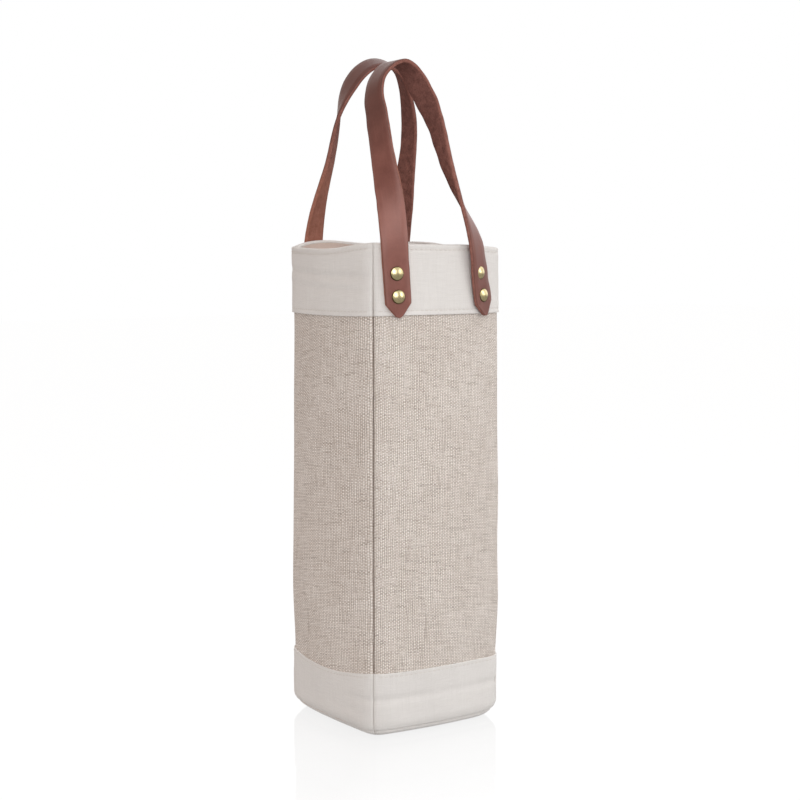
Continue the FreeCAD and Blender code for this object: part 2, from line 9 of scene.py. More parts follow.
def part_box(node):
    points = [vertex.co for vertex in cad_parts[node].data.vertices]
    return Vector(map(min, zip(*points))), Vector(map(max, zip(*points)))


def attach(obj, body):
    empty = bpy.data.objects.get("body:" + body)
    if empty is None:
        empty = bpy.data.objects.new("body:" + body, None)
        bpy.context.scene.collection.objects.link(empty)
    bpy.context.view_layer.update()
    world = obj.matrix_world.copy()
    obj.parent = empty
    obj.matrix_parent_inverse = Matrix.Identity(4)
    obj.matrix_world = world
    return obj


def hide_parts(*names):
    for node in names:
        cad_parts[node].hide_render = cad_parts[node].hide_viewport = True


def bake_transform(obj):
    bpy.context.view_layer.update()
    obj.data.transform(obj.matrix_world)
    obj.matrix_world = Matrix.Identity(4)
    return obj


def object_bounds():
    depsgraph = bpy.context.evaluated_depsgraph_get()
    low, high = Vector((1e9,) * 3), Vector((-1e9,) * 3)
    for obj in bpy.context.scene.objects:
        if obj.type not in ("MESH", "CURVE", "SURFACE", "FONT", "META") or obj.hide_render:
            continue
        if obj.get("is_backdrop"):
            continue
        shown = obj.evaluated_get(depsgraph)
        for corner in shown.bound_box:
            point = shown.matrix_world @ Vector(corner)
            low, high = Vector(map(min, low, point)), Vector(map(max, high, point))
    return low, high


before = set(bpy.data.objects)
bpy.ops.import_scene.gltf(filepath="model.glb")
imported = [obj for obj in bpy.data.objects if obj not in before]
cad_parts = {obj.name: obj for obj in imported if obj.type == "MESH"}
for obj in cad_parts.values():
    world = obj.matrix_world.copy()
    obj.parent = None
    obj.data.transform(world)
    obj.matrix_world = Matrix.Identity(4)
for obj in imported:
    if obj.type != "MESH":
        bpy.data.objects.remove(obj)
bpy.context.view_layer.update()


def mm(*lengths):
    """Lengths in millimetres, as metres."""
    return tuple(length / 1000 for length in lengths)


# Sides of the bag with the turn that carries the front face there; signs of the handles and hands.
SIDES = {"front": 0.0, "right": 90.0, "back": 180.0, "left": 270.0}
HANDLES = {"front": 1, "back": -1}
HANDS = {"left": -1, "right": 1}

# Plan of the walls on the outer face of the jute.
FACE_RADIUS = 0.180
CORNER_RADIUS = 0.015
HALF_WIDTH = -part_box("jute_front")[0].y
FACE_CENTRE = FACE_RADIUS - HALF_WIDTH
CORNER_CENTRE = (
    math.sqrt(2 * (FACE_RADIUS - CORNER_RADIUS) ** 2 - FACE_CENTRE**2) - FACE_CENTRE
) / 2
LEAN = math.atan2(CORNER_CENTRE, FACE_CENTRE + CORNER_CENTRE)
FACE_ARC = FACE_RADIUS * LEAN
HALF_PANEL = FACE_ARC + CORNER_RADIUS * (math.pi / 4 - LEAN)

# Thickness of the layers, and depths counted inwards from the jute's outer face.
JUTE = 0.0011
CANVAS = 0.0010
WADDING = 0.0020
LINING = 0.0006
UNDER_WADDING = JUTE + WADDING
UNDER_LINING = UNDER_WADDING + LINING

# Heights, read from the construction.
CUFF_FOOT, RIM = (corner.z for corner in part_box("cuff_front"))
LINING_FOOT, FACING_FOOT = (corner.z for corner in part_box("lining_front"))
WALL_FOOT, WALL_HEAD = (corner.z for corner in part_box("jute_front"))
BAND_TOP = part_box("base_band_front")[1].z
BASE_ROUNDING = WALL_FOOT

# Softness of the walls.
SEAM_TUCK = 0.0018
SEAM_TUCK_WIDTH = 0.0021
SEAM_SLACK = 0.00004
# Width of the painted shade along each seam of the cloth.
SEAM_SHADE = 0.00027
UNEVEN = 0.00045
UNEVEN_PITCH = 0.055
RUMPLE = 0.0003
RUMPLE_PITCH = 0.014
RUMPLE_EDGE = 0.0030
BASE_FLATTEN = 0.0026
BASE_FLATTEN_HEIGHT = 0.055
CUFF_FLARE = 0.0003
CANVAS_TUCK_SHARE = 0.55
HEM_TUCK_SHARE = 1.1
RIM_CREST = 0.0014
HEM_ROUND = 0.00060
RIM_DENT, RIM_DENT_WIDTH = 0.00036, 0.0010
HEM_DENT, HEM_DENT_WIDTH = 0.00032, 0.0006
BAND_DENT, BAND_DENT_WIDTH = 0.00014, 0.0006
FACING_ROUND = LINING / 2
BASE_SEAM_TURN = 50.0
BASE_SEAM_WIDTH_TURN = 4.0
BASE_SEAM_DEPTH = 0.0013
LINING_SLACK = 0.0016
LINING_PITCH = 0.045
LINING_SHIFT = 7.0

# How far the rim rises or dips from seam to seam of each side, seen from outside.
RIM_LIFTS = {
    "front": mm(1.5, 0.9, 0.6, 0.3, 0.2, -0.6, -1.8),
    "right": mm(-1.8, -1.2, -0.8, -0.4, 0, 1.8, 2.5),
    "back": mm(2.5, 1, 0.9, 2.2, 3.4, 2.5, -0.9),
    "left": mm(-0.9, -1.7, -2.3, -2.6, -2, -0.1, 1.5),
}
# How far the upper edge of the base band rises or dips, in the same order.
BAND_LIFTS = {
    "front": mm(1, 0.8, 0.8, 1, 1, 0.8, 0.5),
    "right": mm(0.5, 0, -1, -1.5, -1, 0, 0.5),
    "back": mm(0.5, 0, 0, 0, 0, 0, 0.5),
    "left": mm(0.5, -1.5, -3, -3.5, -3, -1, 1),
}

# How closely the jute's warp stands on each side, and how its weft slopes.
JUTE_LAYS = {"front": (1.0, 0.15), "right": (0.9, -0.15), "back": (1.0, 0.15), "left": (0.75, -0.15)}
# How far the lower edge of the cuff, and the rounding under the base band, rise or dip.
HEM_LIFTS = {
    "front": mm(-0.4, 0, 0, 0, 0, 0, 0),
    "right": mm(0, 0, 0, 0, 0, 0, 0),
    "back": mm(0, 0, 0, 0, 0, -0.4, -0.8),
    "left": mm(-0.8, -0.9, -1, -1, -1, -0.8, -0.4),
}
BASE_LIFTS = {
    "front": mm(0, 0.2, 0.2, 0, 0, 0.2, 1.3),
    "right": mm(1.3, 0.4, 0, 0, 0, 0, 0),
    "back": mm(0, 0, 0, 0, 0, 0.4, 1.4),
    "left": mm(1.4, 1, 0.9, 0.9, 0.8, 0.3, 0),
}
# Corners at the left and the right seam of each side, and how far two of them stand out or in,
# at even heights from the upper edge of the base band to the rim.
CORNERS = {
    "front": ("near", "right"), "right": ("right", "far"),
    "back": ("far", "left"), "left": ("left", "near"),
}
CORNER_SWELLS = {
    "left": mm(-0.5, 1.2, 0.7, 0.1, -0.2, -0.8, -0.9, -0.1),
    "right": mm(0, 1.4, 1, 1.3, 0.5, 0, -0.2, -0.4),
}
# Soft creases: side, heights at its left and right seams, and depth from seam to seam.
CREASES = (
    ("front", mm(26.6, 26.6), mm(1.1, 1, 0.8, 0.6, 0.6, 0.9, 1)),
    ("left", mm(26.6, 26.6), mm(0, 0, 0, 0, 0, 0.4, 1.1)),
    ("left", mm(19, 17), mm(0, 0, 0, 0, 0.2, 0.5, 0)),
    ("left", mm(316.5, 310.5), mm(0.4, 0.9, 1, 1.1, 1.5, 1.5, 0.3)),
    ("left", mm(306, 301.5), mm(0, 0.2, 0.4, 0.8, 0.9, 0.9, 0.2)),
)
CREASE_WIDTH = 0.0030

# Straps, rivets and the line about which the handles swing.
STRAP_WIDTH = 0.0185
STRAP = 0.0028
STRAP_SEAT = 0.0002
STRAP_TIP_DROP = 0.0482
STRAP_POINT = 0.0095
STRAP_TIP_WIDTH = 0.0034
STRAP_BEVEL = 0.0006
STRAP_BLUNTNESS = 48.0
STRAP_NOSE = 0.0016
STRAP_NOSE_LEAST = 0.0006
STRAP_PRESS = 0.0005
RIVET_DROPS = (0.0189, 0.0342)
FLEX_RISE = 0.0030
# Riveted ends: insets of tip and root from the bag's side, turn of the cloth that an end pulls on,
# turns of the end away from the cuff at its rivets and at the flex line in degrees, and how unevenly
# its edges are cut.
ENDS = {
    ("front", "left"): (0.0250, 0.0213, 0.0, (0.0, 4.0), 0.0002),
    ("front", "right"): (0.0270, 0.0384, 7.0, (3.5, 13.0), 0.0008),
    ("back", "left"): (0.0285, 0.0333, 0.0, (0.0, 8.0), 0.0004),
    ("back", "right"): (0.0205, 0.0187, 0.0, (0.0, 3.0), 0.0002),
}
# Width and drop of the pull on the cloth, and pitch of the unevenness along a cut edge.
PULL_WIDTH = 0.016
PULL_DROP = 0.070
WAVER_PITCH = 0.0085

# Run of each loop from its left leg over the top to its right leg: heights as shares of the loop,
# places across as shares of half the bag's width, and the strap's twist from facing out of the bag.
LOOP_HEIGHTS = {"front": 0.1195, "back": 0.1243}
LOOP_LEAN = 0.040
LOOP_TURNS = {"front": 0.0, "back": -16.0}
HEIGHT_SHARES = {
    "front": (0.22, 0.46, 0.70, 0.88, 1.0, 0.88, 0.70, 0.46, 0.22),
    "back": (0.22, 0.46, 0.70, 0.88, 1.0, 0.95, 0.88, 0.70, 0.46, 0.22),
}
ACROSS_SHARES = {
    "front": (-0.62, -0.62, -0.61, -0.55, -0.16, 0.01, 0.14, 0.20, 0.30),
    "back": (-0.45, -0.38, -0.35, -0.26, 0.01, 0.30, 0.395, 0.53, 0.61, 0.64),
}
TWISTS = {
    "front": (44.0, 70.0, 77.0, 93.0, 94.0, 107.0, 94.0, 77.5, 57.0),
    "back": (37.0, 54.0, 70.0, 104.0, 110.0, 102.0, 95.0, 85.0, 81.0, 53.0),
}
RIVET_CAP = 0.0047
RIVET_DOME = 0.0021
RIVET_BACK = 0.0045
RIVET_BACK_DOME = 0.0014
RIVET_SINK = 0.00025
RIVET_DENT = 0.00030
RIVET_DENT_REACH = 0.0062
CAP_ROLL, CAP_BRIM = 0.10, 0.34

# Tone of the leather by distance from the crown of a loop, less than nought on the left leg: painted shade
# near the crown and at the right end, a painted highlight at the bend of the grain side over the rim on the
# left, and painted light at the left end of the flesh side.
CROWN_SHADE_REACH = (0.046, 0.082)
CROWN_SHADE_GRAIN, CROWN_SHADE_FLESH = 0.48, 0.35
RIGHT_END_SHADE = (0.115, 0.140)
RIGHT_END_SHADE_SHARE = 0.20
BEND_HIGHLIGHT = -0.125
BEND_HIGHLIGHT_REACH = (0.006, 0.026)
BEND_HIGHLIGHT_SHARE = 0.38
LEFT_END_LIGHT = (-0.100, -0.072)
LEFT_END_LIGHT_SHARE = 0.35

# Stitching.
STITCH = 0.0030
STITCH_GAP = 0.0007
STITCH_WIDE = 0.00030
STITCH_HIGH = 0.00022
RIM_STITCH_DROP = 0.0037
HEM_STITCH_RISE = 0.0031
BAND_STITCH_DROP = 0.0023
# Rings of a stitch: share of its length, girth and rise.
STITCH_RINGS = (
    (0.0, 0.35, -1.2), (0.12, 0.8, -0.2), (0.5, 1.0, 0.35), (0.88, 0.8, -0.2), (1.0, 0.35, -1.2),
)

# How finely the meshes are divided, and the angle from which an edge is sharp.
SEAM_STEPS, FACE_STEPS = 8, 61
PLATE_STEPS = 32
PLATE_RINGS = (1.0, 0.97, 0.85, 0.65, 0.45, 0.25)
STITCH_SIDES = 6
FINE_STEPS, TIP_STEPS, LOOP_STEPS = 2000, 25, 240
RIVET_STEPS = 40
SHARP_ANGLE = 50.0

# Usual range of a noise texture, and where the count of threads starts, to stay above nought.
NOISE_RANGE = (0.3, 0.7)
THREADS_START = 1000.0

# Camera: place, aim and lens found from the bag's corners and seams.
CAMERA_TURN = 34.19
CAMERA_PITCH = 5.307
CAMERA_DISTANCE = 1.1803
CAMERA_ASIDE = 0.0041
CAMERA_HEIGHT = 0.3331
LENS_MM = 75.55
SENSOR_MM = 36.0

# Stage: pale lit floor, three soft lights and a white surround.
FLOOR_HALF = 6.0
FLOOR_WHITE = 1.04
FLOOR_BOUNCE = 0.62
FLOOR_MIRRORED = 0.25
FLOOR_MATT_SHARE = 0.12
GLOSS_REACH = (0.058, 0.20)
GLOSS_SHARES = (0.155, 0.015)
# Brightness of the surround behind the bag and on the camera's side, and its tint on the left.
SURROUND = (1.49, 0.39)
LEFT_TINT = (0.46, 0.33, 0.26)
WHITE = (1.0, 1.0, 1.0)
LIGHT_AIM = 0.2
# Lights: turn from the camera towards the right in degrees, distance, height, size and power.
LIGHTS = (
    ("key_light", 4.0, 1.9, 1.0, (1.2, 1.6), 18.8),
    ("side_light", 70.0, 1.4, 0.75, (0.6, 0.9), 4.2),
    ("low_light", -75.0, 0.42, 0.09, (0.30, 0.12), 0.17),
)


def up(height):
    return Vector((0.0, 0.0, height))


def smoothstep(share):
    share = min(1.0, max(0.0, share))
    return share * share * (3 - 2 * share)


def smooth_between(values, share):
    """Smooth value at a share of the way along evenly spaced values."""
    place = min(1.0, max(0.0, share)) * (len(values) - 1)
    index = min(len(values) - 2, max(0, int(place)))
    share = place - index
    before = values[max(0, index - 1)]
    low, high = values[index], values[index + 1]
    after = values[min(len(values) - 1, index + 2)]
    rise_low, rise_high = (high - before) / 2, (after - low) / 2
    square, cube = share**2, share**3
    return (
        low * (2 * cube - 3 * square + 1)
        + rise_low * (cube - 2 * square + share)
        + high * (3 * square - 2 * cube)
        + rise_high * (cube - square)
    )


def along_side(values, s):
    """Smooth value between values, if any, set from the left seam of a side to its right one."""
    return smooth_between(values, (s / HALF_PANEL + 1) / 2) if values else 0.0


def plan(s, out):
    """Point of the front face at arc length s from its middle, and the way it faces."""
    if abs(s) <= FACE_ARC:
        turn = s / FACE_RADIUS
        centre = Vector((0.0, FACE_CENTRE, 0.0))
        reach = FACE_RADIUS + out
    else:
        turn = math.copysign(LEAN + (abs(s) - FACE_ARC) / CORNER_RADIUS, s)
        centre = Vector((math.copysign(CORNER_CENTRE, s), -CORNER_CENTRE, 0.0))
        reach = CORNER_RADIUS + out
    facing = Vector((math.sin(turn), -math.cos(turn), 0.0))
    return centre + facing * reach, facing


def spun(side):
    """Turn that carries the front face to a side."""
    return Matrix.Rotation(math.radians(SIDES[side]), 3, "Z")


def crown(s):
    """How near a place on a face is to its middle: one there, none at the corners."""
    return max(0.0, 1 - (plan(s, 0.0)[0].x / CORNER_CENTRE) ** 2)


def dent(distance, depth, width):
    """Depth of a soft hollow at a distance from its line."""
    return depth * math.exp(-((distance / width) ** 2))


def seam_tuck(s):
    """How far cloth turns in towards a corner seam."""
    share = (abs(s) - (HALF_PANEL - SEAM_TUCK_WIDTH)) / SEAM_TUCK_WIDTH
    if share <= 0:
        return 0.0
    return SEAM_TUCK * (1 - math.sqrt(max(0.0, 1 - share**2)))


def pull(side, s, z):
    """How far a strap end, turned by its rivets, draws the cloth round it out or in."""
    moved = 0.0
    for (face, hand), (tip, root, turn, twists, waver) in ENDS.items():
        if face == side and turn:
            sign = HANDS[hand] * HANDLES[face]
            off = s - sign * (HALF_WIDTH - (tip + root) / 2)
            reach = math.tan(math.radians(turn)) * sign
            held = smoothstep((z - RIM + PULL_DROP) / (PULL_DROP - RIVET_DROPS[1]))
            moved -= dent(off, reach * off, PULL_WIDTH) * held
    return moved


def swell(side, s, z):
    """How far the filled-out wall stands off its plan: by its corners, less its soft creases."""
    share = (s / HALF_PANEL + 1) / 2
    height = (z - BAND_TOP) / (RIM - BAND_TOP)
    moved = 0.0
    for corner, part in zip(CORNERS[side], (1 - share, share)):
        if corner in CORNER_SWELLS:
            moved += part * smooth_between(CORNER_SWELLS[corner], height)
    for face, heights, depths in CREASES:
        if face == side:
            line = heights[0] + (heights[1] - heights[0]) * share
            moved -= dent(z - line, along_side(depths, s), CREASE_WIDTH)
    return moved


def wall_point(side, s, out, z, tuck=0.0):
    """Point of a wall layer, with the unevenness that all the layers share."""
    spin = spun(side)
    at = spin @ plan(s, 0.0)[0] + up(z)
    canvas = smoothstep(max(z - CUFF_FOOT, BAND_TOP - z) / RUMPLE_EDGE)
    uneven = UNEVEN * noise.noise(at / UNEVEN_PITCH) + RUMPLE * canvas * noise.noise(at / RUMPLE_PITCH)
    flatten = dent(z, BASE_FLATTEN * crown(s), BASE_FLATTEN_HEIGHT)
    place, facing = plan(s, out - tuck * seam_tuck(s))
    moved = spin @ (place + facing * (uneven - flatten + pull(side, s, z) + swell(side, s, z)))
    lift = along_side(RIM_LIFTS[side], s) * smoothstep((z - CUFF_FOOT) / (RIM - CUFF_FOOT))
    return moved + up(z + lift)


def placed(name, data):
    """Object in the scene for a mesh, a light or a camera."""
    made = bpy.data.objects.new(name, data)
    bpy.context.scene.collection.objects.link(made)
    return made


def links(count):
    """Each place of a closed ring with the next one."""
    return [(i, (i + 1) % count) for i in range(count)]


def new_piece(name, points, faces, coords, materials, choices=None):
    """Mesh object with smooth faces and its cloth coordinates in metres."""
    mesh = bpy.data.meshes.new(name)
    mesh.from_pydata(points, [], faces)
    mesh.update()
    cloth = mesh.attributes.new("cloth", "FLOAT_VECTOR", "POINT")
    cloth.data.foreach_set("vector", np.array(coords, np.float32).ravel())
    for material in materials:
        mesh.materials.append(material)
    mesh.shade_smooth()
    if choices is not None:
        mesh.polygons.foreach_set("material_index", choices)
    mesh.set_sharp_from_angle(angle=math.radians(SHARP_ANGLE))
    return placed(name, mesh)


def columns():
    """Places across a panel, close together where its edges turn in at the seams."""
    reach = HALF_PANEL - SEAM_SLACK
    inner = HALF_PANEL - SEAM_TUCK_WIDTH
    quarter = np.linspace(0, math.pi / 2, SEAM_STEPS + 1)[1:]
    turned = [inner + (reach - inner) * math.sin(angle) for angle in quarter]
    middle = list(np.linspace(-inner, inner, FACE_STEPS))
    return [-s for s in reversed(turned)] + middle + turned


def swept_panel(name, side, profile, material, spread=1.0, skew=0.0):
    """Closed cloth strip: a profile of (out, height, tuck, lift) carried from seam to seam."""
    places = columns()
    runs = [0.0]
    for first, second in zip(profile, profile[1:]):
        runs.append(runs[-1] + math.hypot(second[0] - first[0], second[1] - first[1]))
    points, coords = [], []
    for s in places:
        for (out, z, tuck, lifts), run in zip(profile, runs):
            points.append(wall_point(side, s, out, z + along_side(lifts, s), tuck))
            coords.append((s * spread, run + s * skew, s))
    count = len(profile)
    last = (len(places) - 1) * count
    faces = []
    for row in range(0, last, count):
        faces += [(row + j, row + count + j, row + count + k, row + k) for j, k in links(count)]
    faces.append(tuple(range(count)))
    faces.append(tuple(last + j for j in reversed(range(count))))
    return new_piece(name, points, faces, coords, [material])


def climb(out, low, high, steps, tuck=1.0):
    return [(out, low + (high - low) * i / steps, tuck, None) for i in range(steps + 1)]


def bend(centre, radii, start, end, steps, tuck=1.0):
    """Points of an elliptic arc in a profile, angles in degrees."""
    points = []
    for i in range(steps + 1):
        angle = math.radians(start + (end - start) * i / steps)
        points.append(
            (centre[0] + radii[0] * math.cos(angle), centre[1] + radii[1] * math.sin(angle), tuck, None)
        )
    return points


JUTE_PROFILE = climb(0.0, WALL_FOOT, WALL_HEAD, 110) + climb(-JUTE, WALL_HEAD, WALL_FOOT, 55)
WADDING_PROFILE = climb(-JUTE, WALL_FOOT, WALL_HEAD, 60) + climb(
    -UNDER_WADDING, WALL_HEAD, WALL_FOOT, 60, 0.0
)
LINING_PROFILE = climb(-UNDER_WADDING, LINING_FOOT, FACING_FOOT, 80, 0.0) + climb(
    -UNDER_LINING, FACING_FOOT, LINING_FOOT, 80, 0.0
)


def cuff_profile(side):
    """From the hem up the outside, over the rim, and down to the inner hem and back."""

    def settled(points):
        """The same points with their seams drawn in and their heights set towards the hem."""
        made = []
        for out, z, tuck, none in points:
            low_share = 1 - (z - CUFF_FOOT) / (RIM - CUFF_FOOT)
            drop = smoothstep(2 * low_share - 1)
            lifts = tuple(lift * drop for lift in HEM_LIFTS[side])
            made.append((out, z, tuck + HEM_TUCK_SHARE * low_share**2, lifts))
        return made

    hem = bend(
        (CUFF_FLARE + HEM_ROUND, CUFF_FOOT + HEM_ROUND), (HEM_ROUND,) * 2, 180, 360, 8, CANVAS_TUCK_SHARE
    )
    outside = []
    low, high = CUFF_FOOT + HEM_ROUND, RIM - RIM_CREST
    for i in range(1, 96):
        share = i / 96
        z = low + (high - low) * share
        flare = CUFF_FLARE * (1 - smoothstep(share * 2.2))
        fuller = (2 * HEM_ROUND - CANVAS) * (1 - share)
        drawn = dent(z - CUFF_FOOT - HEM_STITCH_RISE, HEM_DENT, HEM_DENT_WIDTH)
        drawn += dent(RIM - RIM_STITCH_DROP - z, RIM_DENT, RIM_DENT_WIDTH)
        outside.append((CANVAS + flare + fuller - drawn, z, CANVAS_TUCK_SHARE, None))
    across = (CANVAS + UNDER_LINING) / 2
    crest = [
        (out, z, CANVAS_TUCK_SHARE * (out + UNDER_LINING) / (2 * across), None)
        for out, z, tuck, none in bend((CANVAS - across, high), (across, RIM_CREST), 0, 180, 14)
    ]
    inside = climb(-UNDER_LINING, high, FACING_FOOT + FACING_ROUND, 8, 0.0)[1:]
    inner_hem = bend(
        (FACING_ROUND - UNDER_LINING, FACING_FOOT + FACING_ROUND),
        (FACING_ROUND,) * 2, 180, 360, 6, 0.0,
    )[1:]
    hidden = climb(-UNDER_WADDING, FACING_FOOT + 2 * FACING_ROUND, WALL_HEAD, 6, 0.0)
    behind = climb(0.0, WALL_HEAD, CUFF_FOOT + 2 * HEM_ROUND, 16, CANVAS_TUCK_SHARE)
    return settled(hem + outside) + crest + inside + inner_hem + hidden + settled(behind)


def band_profile(side):
    """From under the base round its edge, up the outside to the fold, and back down inside."""
    under = CANVAS - BASE_ROUNDING

    def rounded(turn, reach):
        """Point of the rounding, by its turn from straight down and its reach."""
        angle = math.radians(turn)
        settled = tuple(lift * math.sin(2 * angle) ** 2 for lift in BASE_LIFTS[side])
        out, z = under + reach * math.sin(angle), BASE_ROUNDING - reach * math.cos(angle)
        return out, z, CANVAS_TUCK_SHARE, settled

    rounding = []
    for i in range(31):
        groove = dent(3.0 * i - BASE_SEAM_TURN, BASE_SEAM_DEPTH, BASE_SEAM_WIDTH_TURN)
        rounding.append(rounded(3.0 * i, BASE_ROUNDING - groove))
    top = BAND_TOP - HEM_ROUND

    def raised(share):
        return tuple(lift * smoothstep(share) for lift in BAND_LIFTS[side])

    outside = []
    for i in range(1, 81):
        share = i / 81
        z = BASE_ROUNDING + (top - BASE_ROUNDING) * share
        drawn = dent(BAND_TOP - BAND_STITCH_DROP - z, BAND_DENT, BAND_DENT_WIDTH)
        outside.append((CANVAS - drawn, z, CANVAS_TUCK_SHARE, raised(share)))
    fold = [
        (out, z, CANVAS_TUCK_SHARE, raised(1.0))
        for out, z, tuck, none in bend((CANVAS - HEM_ROUND, top), (HEM_ROUND,) * 2, 0, 180, 8)
    ]
    inside = [
        (0.0, top + (BASE_ROUNDING - top) * i / 14, CANVAS_TUCK_SHARE, raised(1 - i / 14))
        for i in range(1, 15)
    ]
    back = [rounded(90 - 6.0 * i, BASE_ROUNDING - CANVAS) for i in range(1, 16)]
    return rounding + outside + fold + inside + back


def slacken(piece, side):
    """Soft folds in the lining, which stand away from the wadding into the bag."""
    facing = spun(side) @ Vector((0.0, 1.0, 0.0))
    cloth = piece.data.attributes["cloth"].data
    for vertex, coord in zip(piece.data.vertices, cloth):
        edge = 1 - (coord.vector.z / HALF_PANEL) ** 2
        reach = (FACING_FOOT - vertex.co.z) / LINING_PITCH
        hold = smoothstep(edge * 3) * smoothstep(reach)
        fold = noise.noise(vertex.co / LINING_PITCH + up(LINING_SHIFT))
        vertex.co += facing * (LINING_SLACK * hold * (0.5 + 0.5 * fold))


def plate(name, inset, low, high, material):
    """Flat layer with the plan of the bag, drawn in by an inset."""
    outline = []
    for side in SIDES:
        for s in np.linspace(-HALF_PANEL, HALF_PANEL, PLATE_STEPS + 1)[:-1]:
            place, facing = plan(s, -inset)
            outline.append(spun(side) @ (place - facing * BASE_FLATTEN * crown(s)))
    points, faces = [], []
    count = len(outline)
    for z in (low, high):
        for share in PLATE_RINGS:
            points += [Vector((p.x * share, p.y * share, z)) for p in outline]
        points.append(up(z))
    coords = [(p.x, p.y, 0.0) for p in points]
    innermost = count * (len(PLATE_RINGS) - 1)
    layer = innermost + count + 1
    for a in range(0, innermost, count):
        b = a + count
        for i, k in links(count):
            faces.append((a + k, a + i, b + i, b + k))
            faces.append((layer + a + i, layer + a + k, layer + b + k, layer + b + i))
    for i, k in links(count):
        faces.append((innermost + k, innermost + i, layer - 1))
        faces.append((layer + innermost + i, layer + innermost + k, 2 * layer - 1))
        faces.append((i, k, layer + k, layer + i))
    return new_piece(name, points, faces, coords, [material])


def stitch_row(name, out, height, lifts, material):
    """Row of sunk thread stitches round the bag."""
    points, coords, faces = [], [], []
    sides = STITCH_SIDES
    turns = np.linspace(0, 2 * math.pi, sides + 1)[:-1]
    pitch = STITCH + STITCH_GAP
    for side in SIDES:
        number = int(2 * (HALF_PANEL - SEAM_TUCK_WIDTH) / pitch)
        for index in range(number):
            start = (index - number / 2) * pitch + STITCH_GAP / 2
            first = len(points)
            for share, girth, rise in STITCH_RINGS:
                s = start + STITCH * share
                z = height + along_side(lifts and lifts[side], s)
                for turn in turns:
                    across = math.cos(turn)
                    reach = out + STITCH_HIGH * (rise + girth * math.sin(turn))
                    points.append(wall_point(side, s, reach, z + STITCH_WIDE * girth * across))
                    coords.append((s, z + STITCH_WIDE * across, 0.0))
            last = len(points) - sides
            for a in range(first, last, sides):
                b = a + sides
                faces += [(a + i, a + k, b + k, b + i) for i, k in links(sides)]
            faces.append(tuple(first + i for i in reversed(range(sides))))
            faces.append(tuple(last + i for i in range(sides)))
    return new_piece(name, points, faces, coords, [material])


class Seat:
    """Place of one riveted strap end on the cuff, with its own directions."""

    def __init__(self, face, hand):
        sign = HANDS[hand] * HANDLES[face]
        tip_inset, root_inset, pulled, self.twists, self.waver = ENDS[face, hand]
        tip, root = sign * (HALF_WIDTH - tip_inset), sign * (HALF_WIDTH - root_inset)
        rivets = sum(RIVET_DROPS) / 2
        length = STRAP_TIP_DROP + FLEX_RISE
        self.slant = math.atan2(tip - root, length)
        across = tip + (root - tip) * (STRAP_TIP_DROP - rivets) / length
        outer = FACE_RADIUS + CANVAS
        turn = math.asin(across / outer)
        self.turn = abs(math.degrees(turn)) + pulled
        outward = Vector((math.sin(turn), -math.cos(turn), 0.0))
        level = Vector((math.cos(turn), math.sin(turn), 0.0))
        spin = spun(face)
        rise = up(1.0)
        self.middle = RIM - rivets
        self.along = spin @ (rise * math.cos(self.slant) - level * math.sin(self.slant))
        bent = Matrix.Rotation(math.radians(pulled * sign), 3, self.along)
        self.outward = bent @ spin @ outward
        self.skin = spin @ (Vector((0.0, FACE_CENTRE, 0.0)) + outward * outer) + rise * self.middle

    def point(self, height, depth):
        reach = (height - self.middle) / math.cos(self.slant)
        return self.skin + self.along * reach + self.outward * depth


seats = {(face, hand): Seat(face, hand) for face in HANDLES for hand in HANDS}


def spline(knots, values, at):
    """Natural cubic spline through values at knots, read at other places."""
    knots, values = np.asarray(knots, float), np.asarray(values, float)
    step = np.diff(knots)
    size = len(knots)
    system = np.eye(size)
    right = np.zeros_like(values)
    for i in range(1, size - 1):
        system[i, i - 1 : i + 2] = step[i - 1], 2 * (step[i - 1] + step[i]), step[i]
        slope = (values[i + 1] - values[i]) / step[i] - (values[i] - values[i - 1]) / step[i - 1]
        right[i] = 6 * slope
    curve = np.linalg.solve(system, right)
    place = np.clip(np.searchsorted(knots, at) - 1, 0, size - 2)
    h = step[place][:, None]
    low, high = (at - knots[place])[:, None], (knots[place + 1] - at)[:, None]
    return (
        (curve[place] * high**3 + curve[place + 1] * low**3) / (6 * h)
        + (values[place] / h - curve[place] * h / 6) * high
        + (values[place + 1] / h - curve[place + 1] * h / 6) * low
    )


def strap_stations(face):
    """Centre line of a strap from its left tip to its right tip, with twist in degrees."""
    outward = Vector((0.0, -HANDLES[face], 0.0))
    flex = RIM + FLEX_RISE
    skin = HALF_WIDTH + CANVAS + STRAP_SEAT + STRAP / 2
    half_way = HEIGHT_SHARES[face].index(1.0)
    top = outward * (skin - LOOP_LEAN)
    top.x = ACROSS_SHARES[face][half_way] * HALF_WIDTH
    low, high = RIM - RIVET_DROPS[1], RIM - RIVET_DROPS[0]
    heights = (RIM - STRAP_TIP_DROP, low, (low + high) / 2, high, (high + RIM) / 2, RIM - FLEX_RISE)
    ends, roots = [], []
    for hand in HANDS:
        seat = seats[face, hand]
        at_rivets, at_flex = seat.twists
        end = []
        for height in heights:
            twist = at_rivets + (at_flex - at_rivets) * smoothstep((height - low) / (flex - low))
            lift = max(0.0, STRAP_WIDTH / 2 * math.sin(math.radians(twist)) - STRAP_PRESS)
            place = seat.point(height, STRAP_SEAT + STRAP / 2 + lift)
            end.append((place, outward, seat.turn + twist))
        ends.append(end)
        roots.append(seat.point(flex, STRAP_SEAT + STRAP / 2))
    loop = []
    for index, share in enumerate(HEIGHT_SHARES[face]):
        root = roots[0 if index < half_way else 1]
        spin = Matrix.Rotation(math.radians(LOOP_TURNS[face] * share), 3, "Z")
        drift = Vector((top.x * share, root.y + (top.y - root.y) * share, 0.0))
        across = Vector((ACROSS_SHARES[face][index] * HALF_WIDTH - drift.x, 0.0, 0.0))
        rise = up(flex + LOOP_HEIGHTS[face] * share)
        loop.append((drift + spin @ across + rise, spin @ outward, TWISTS[face][index]))
    return ends[0] + loop + ends[1][::-1]


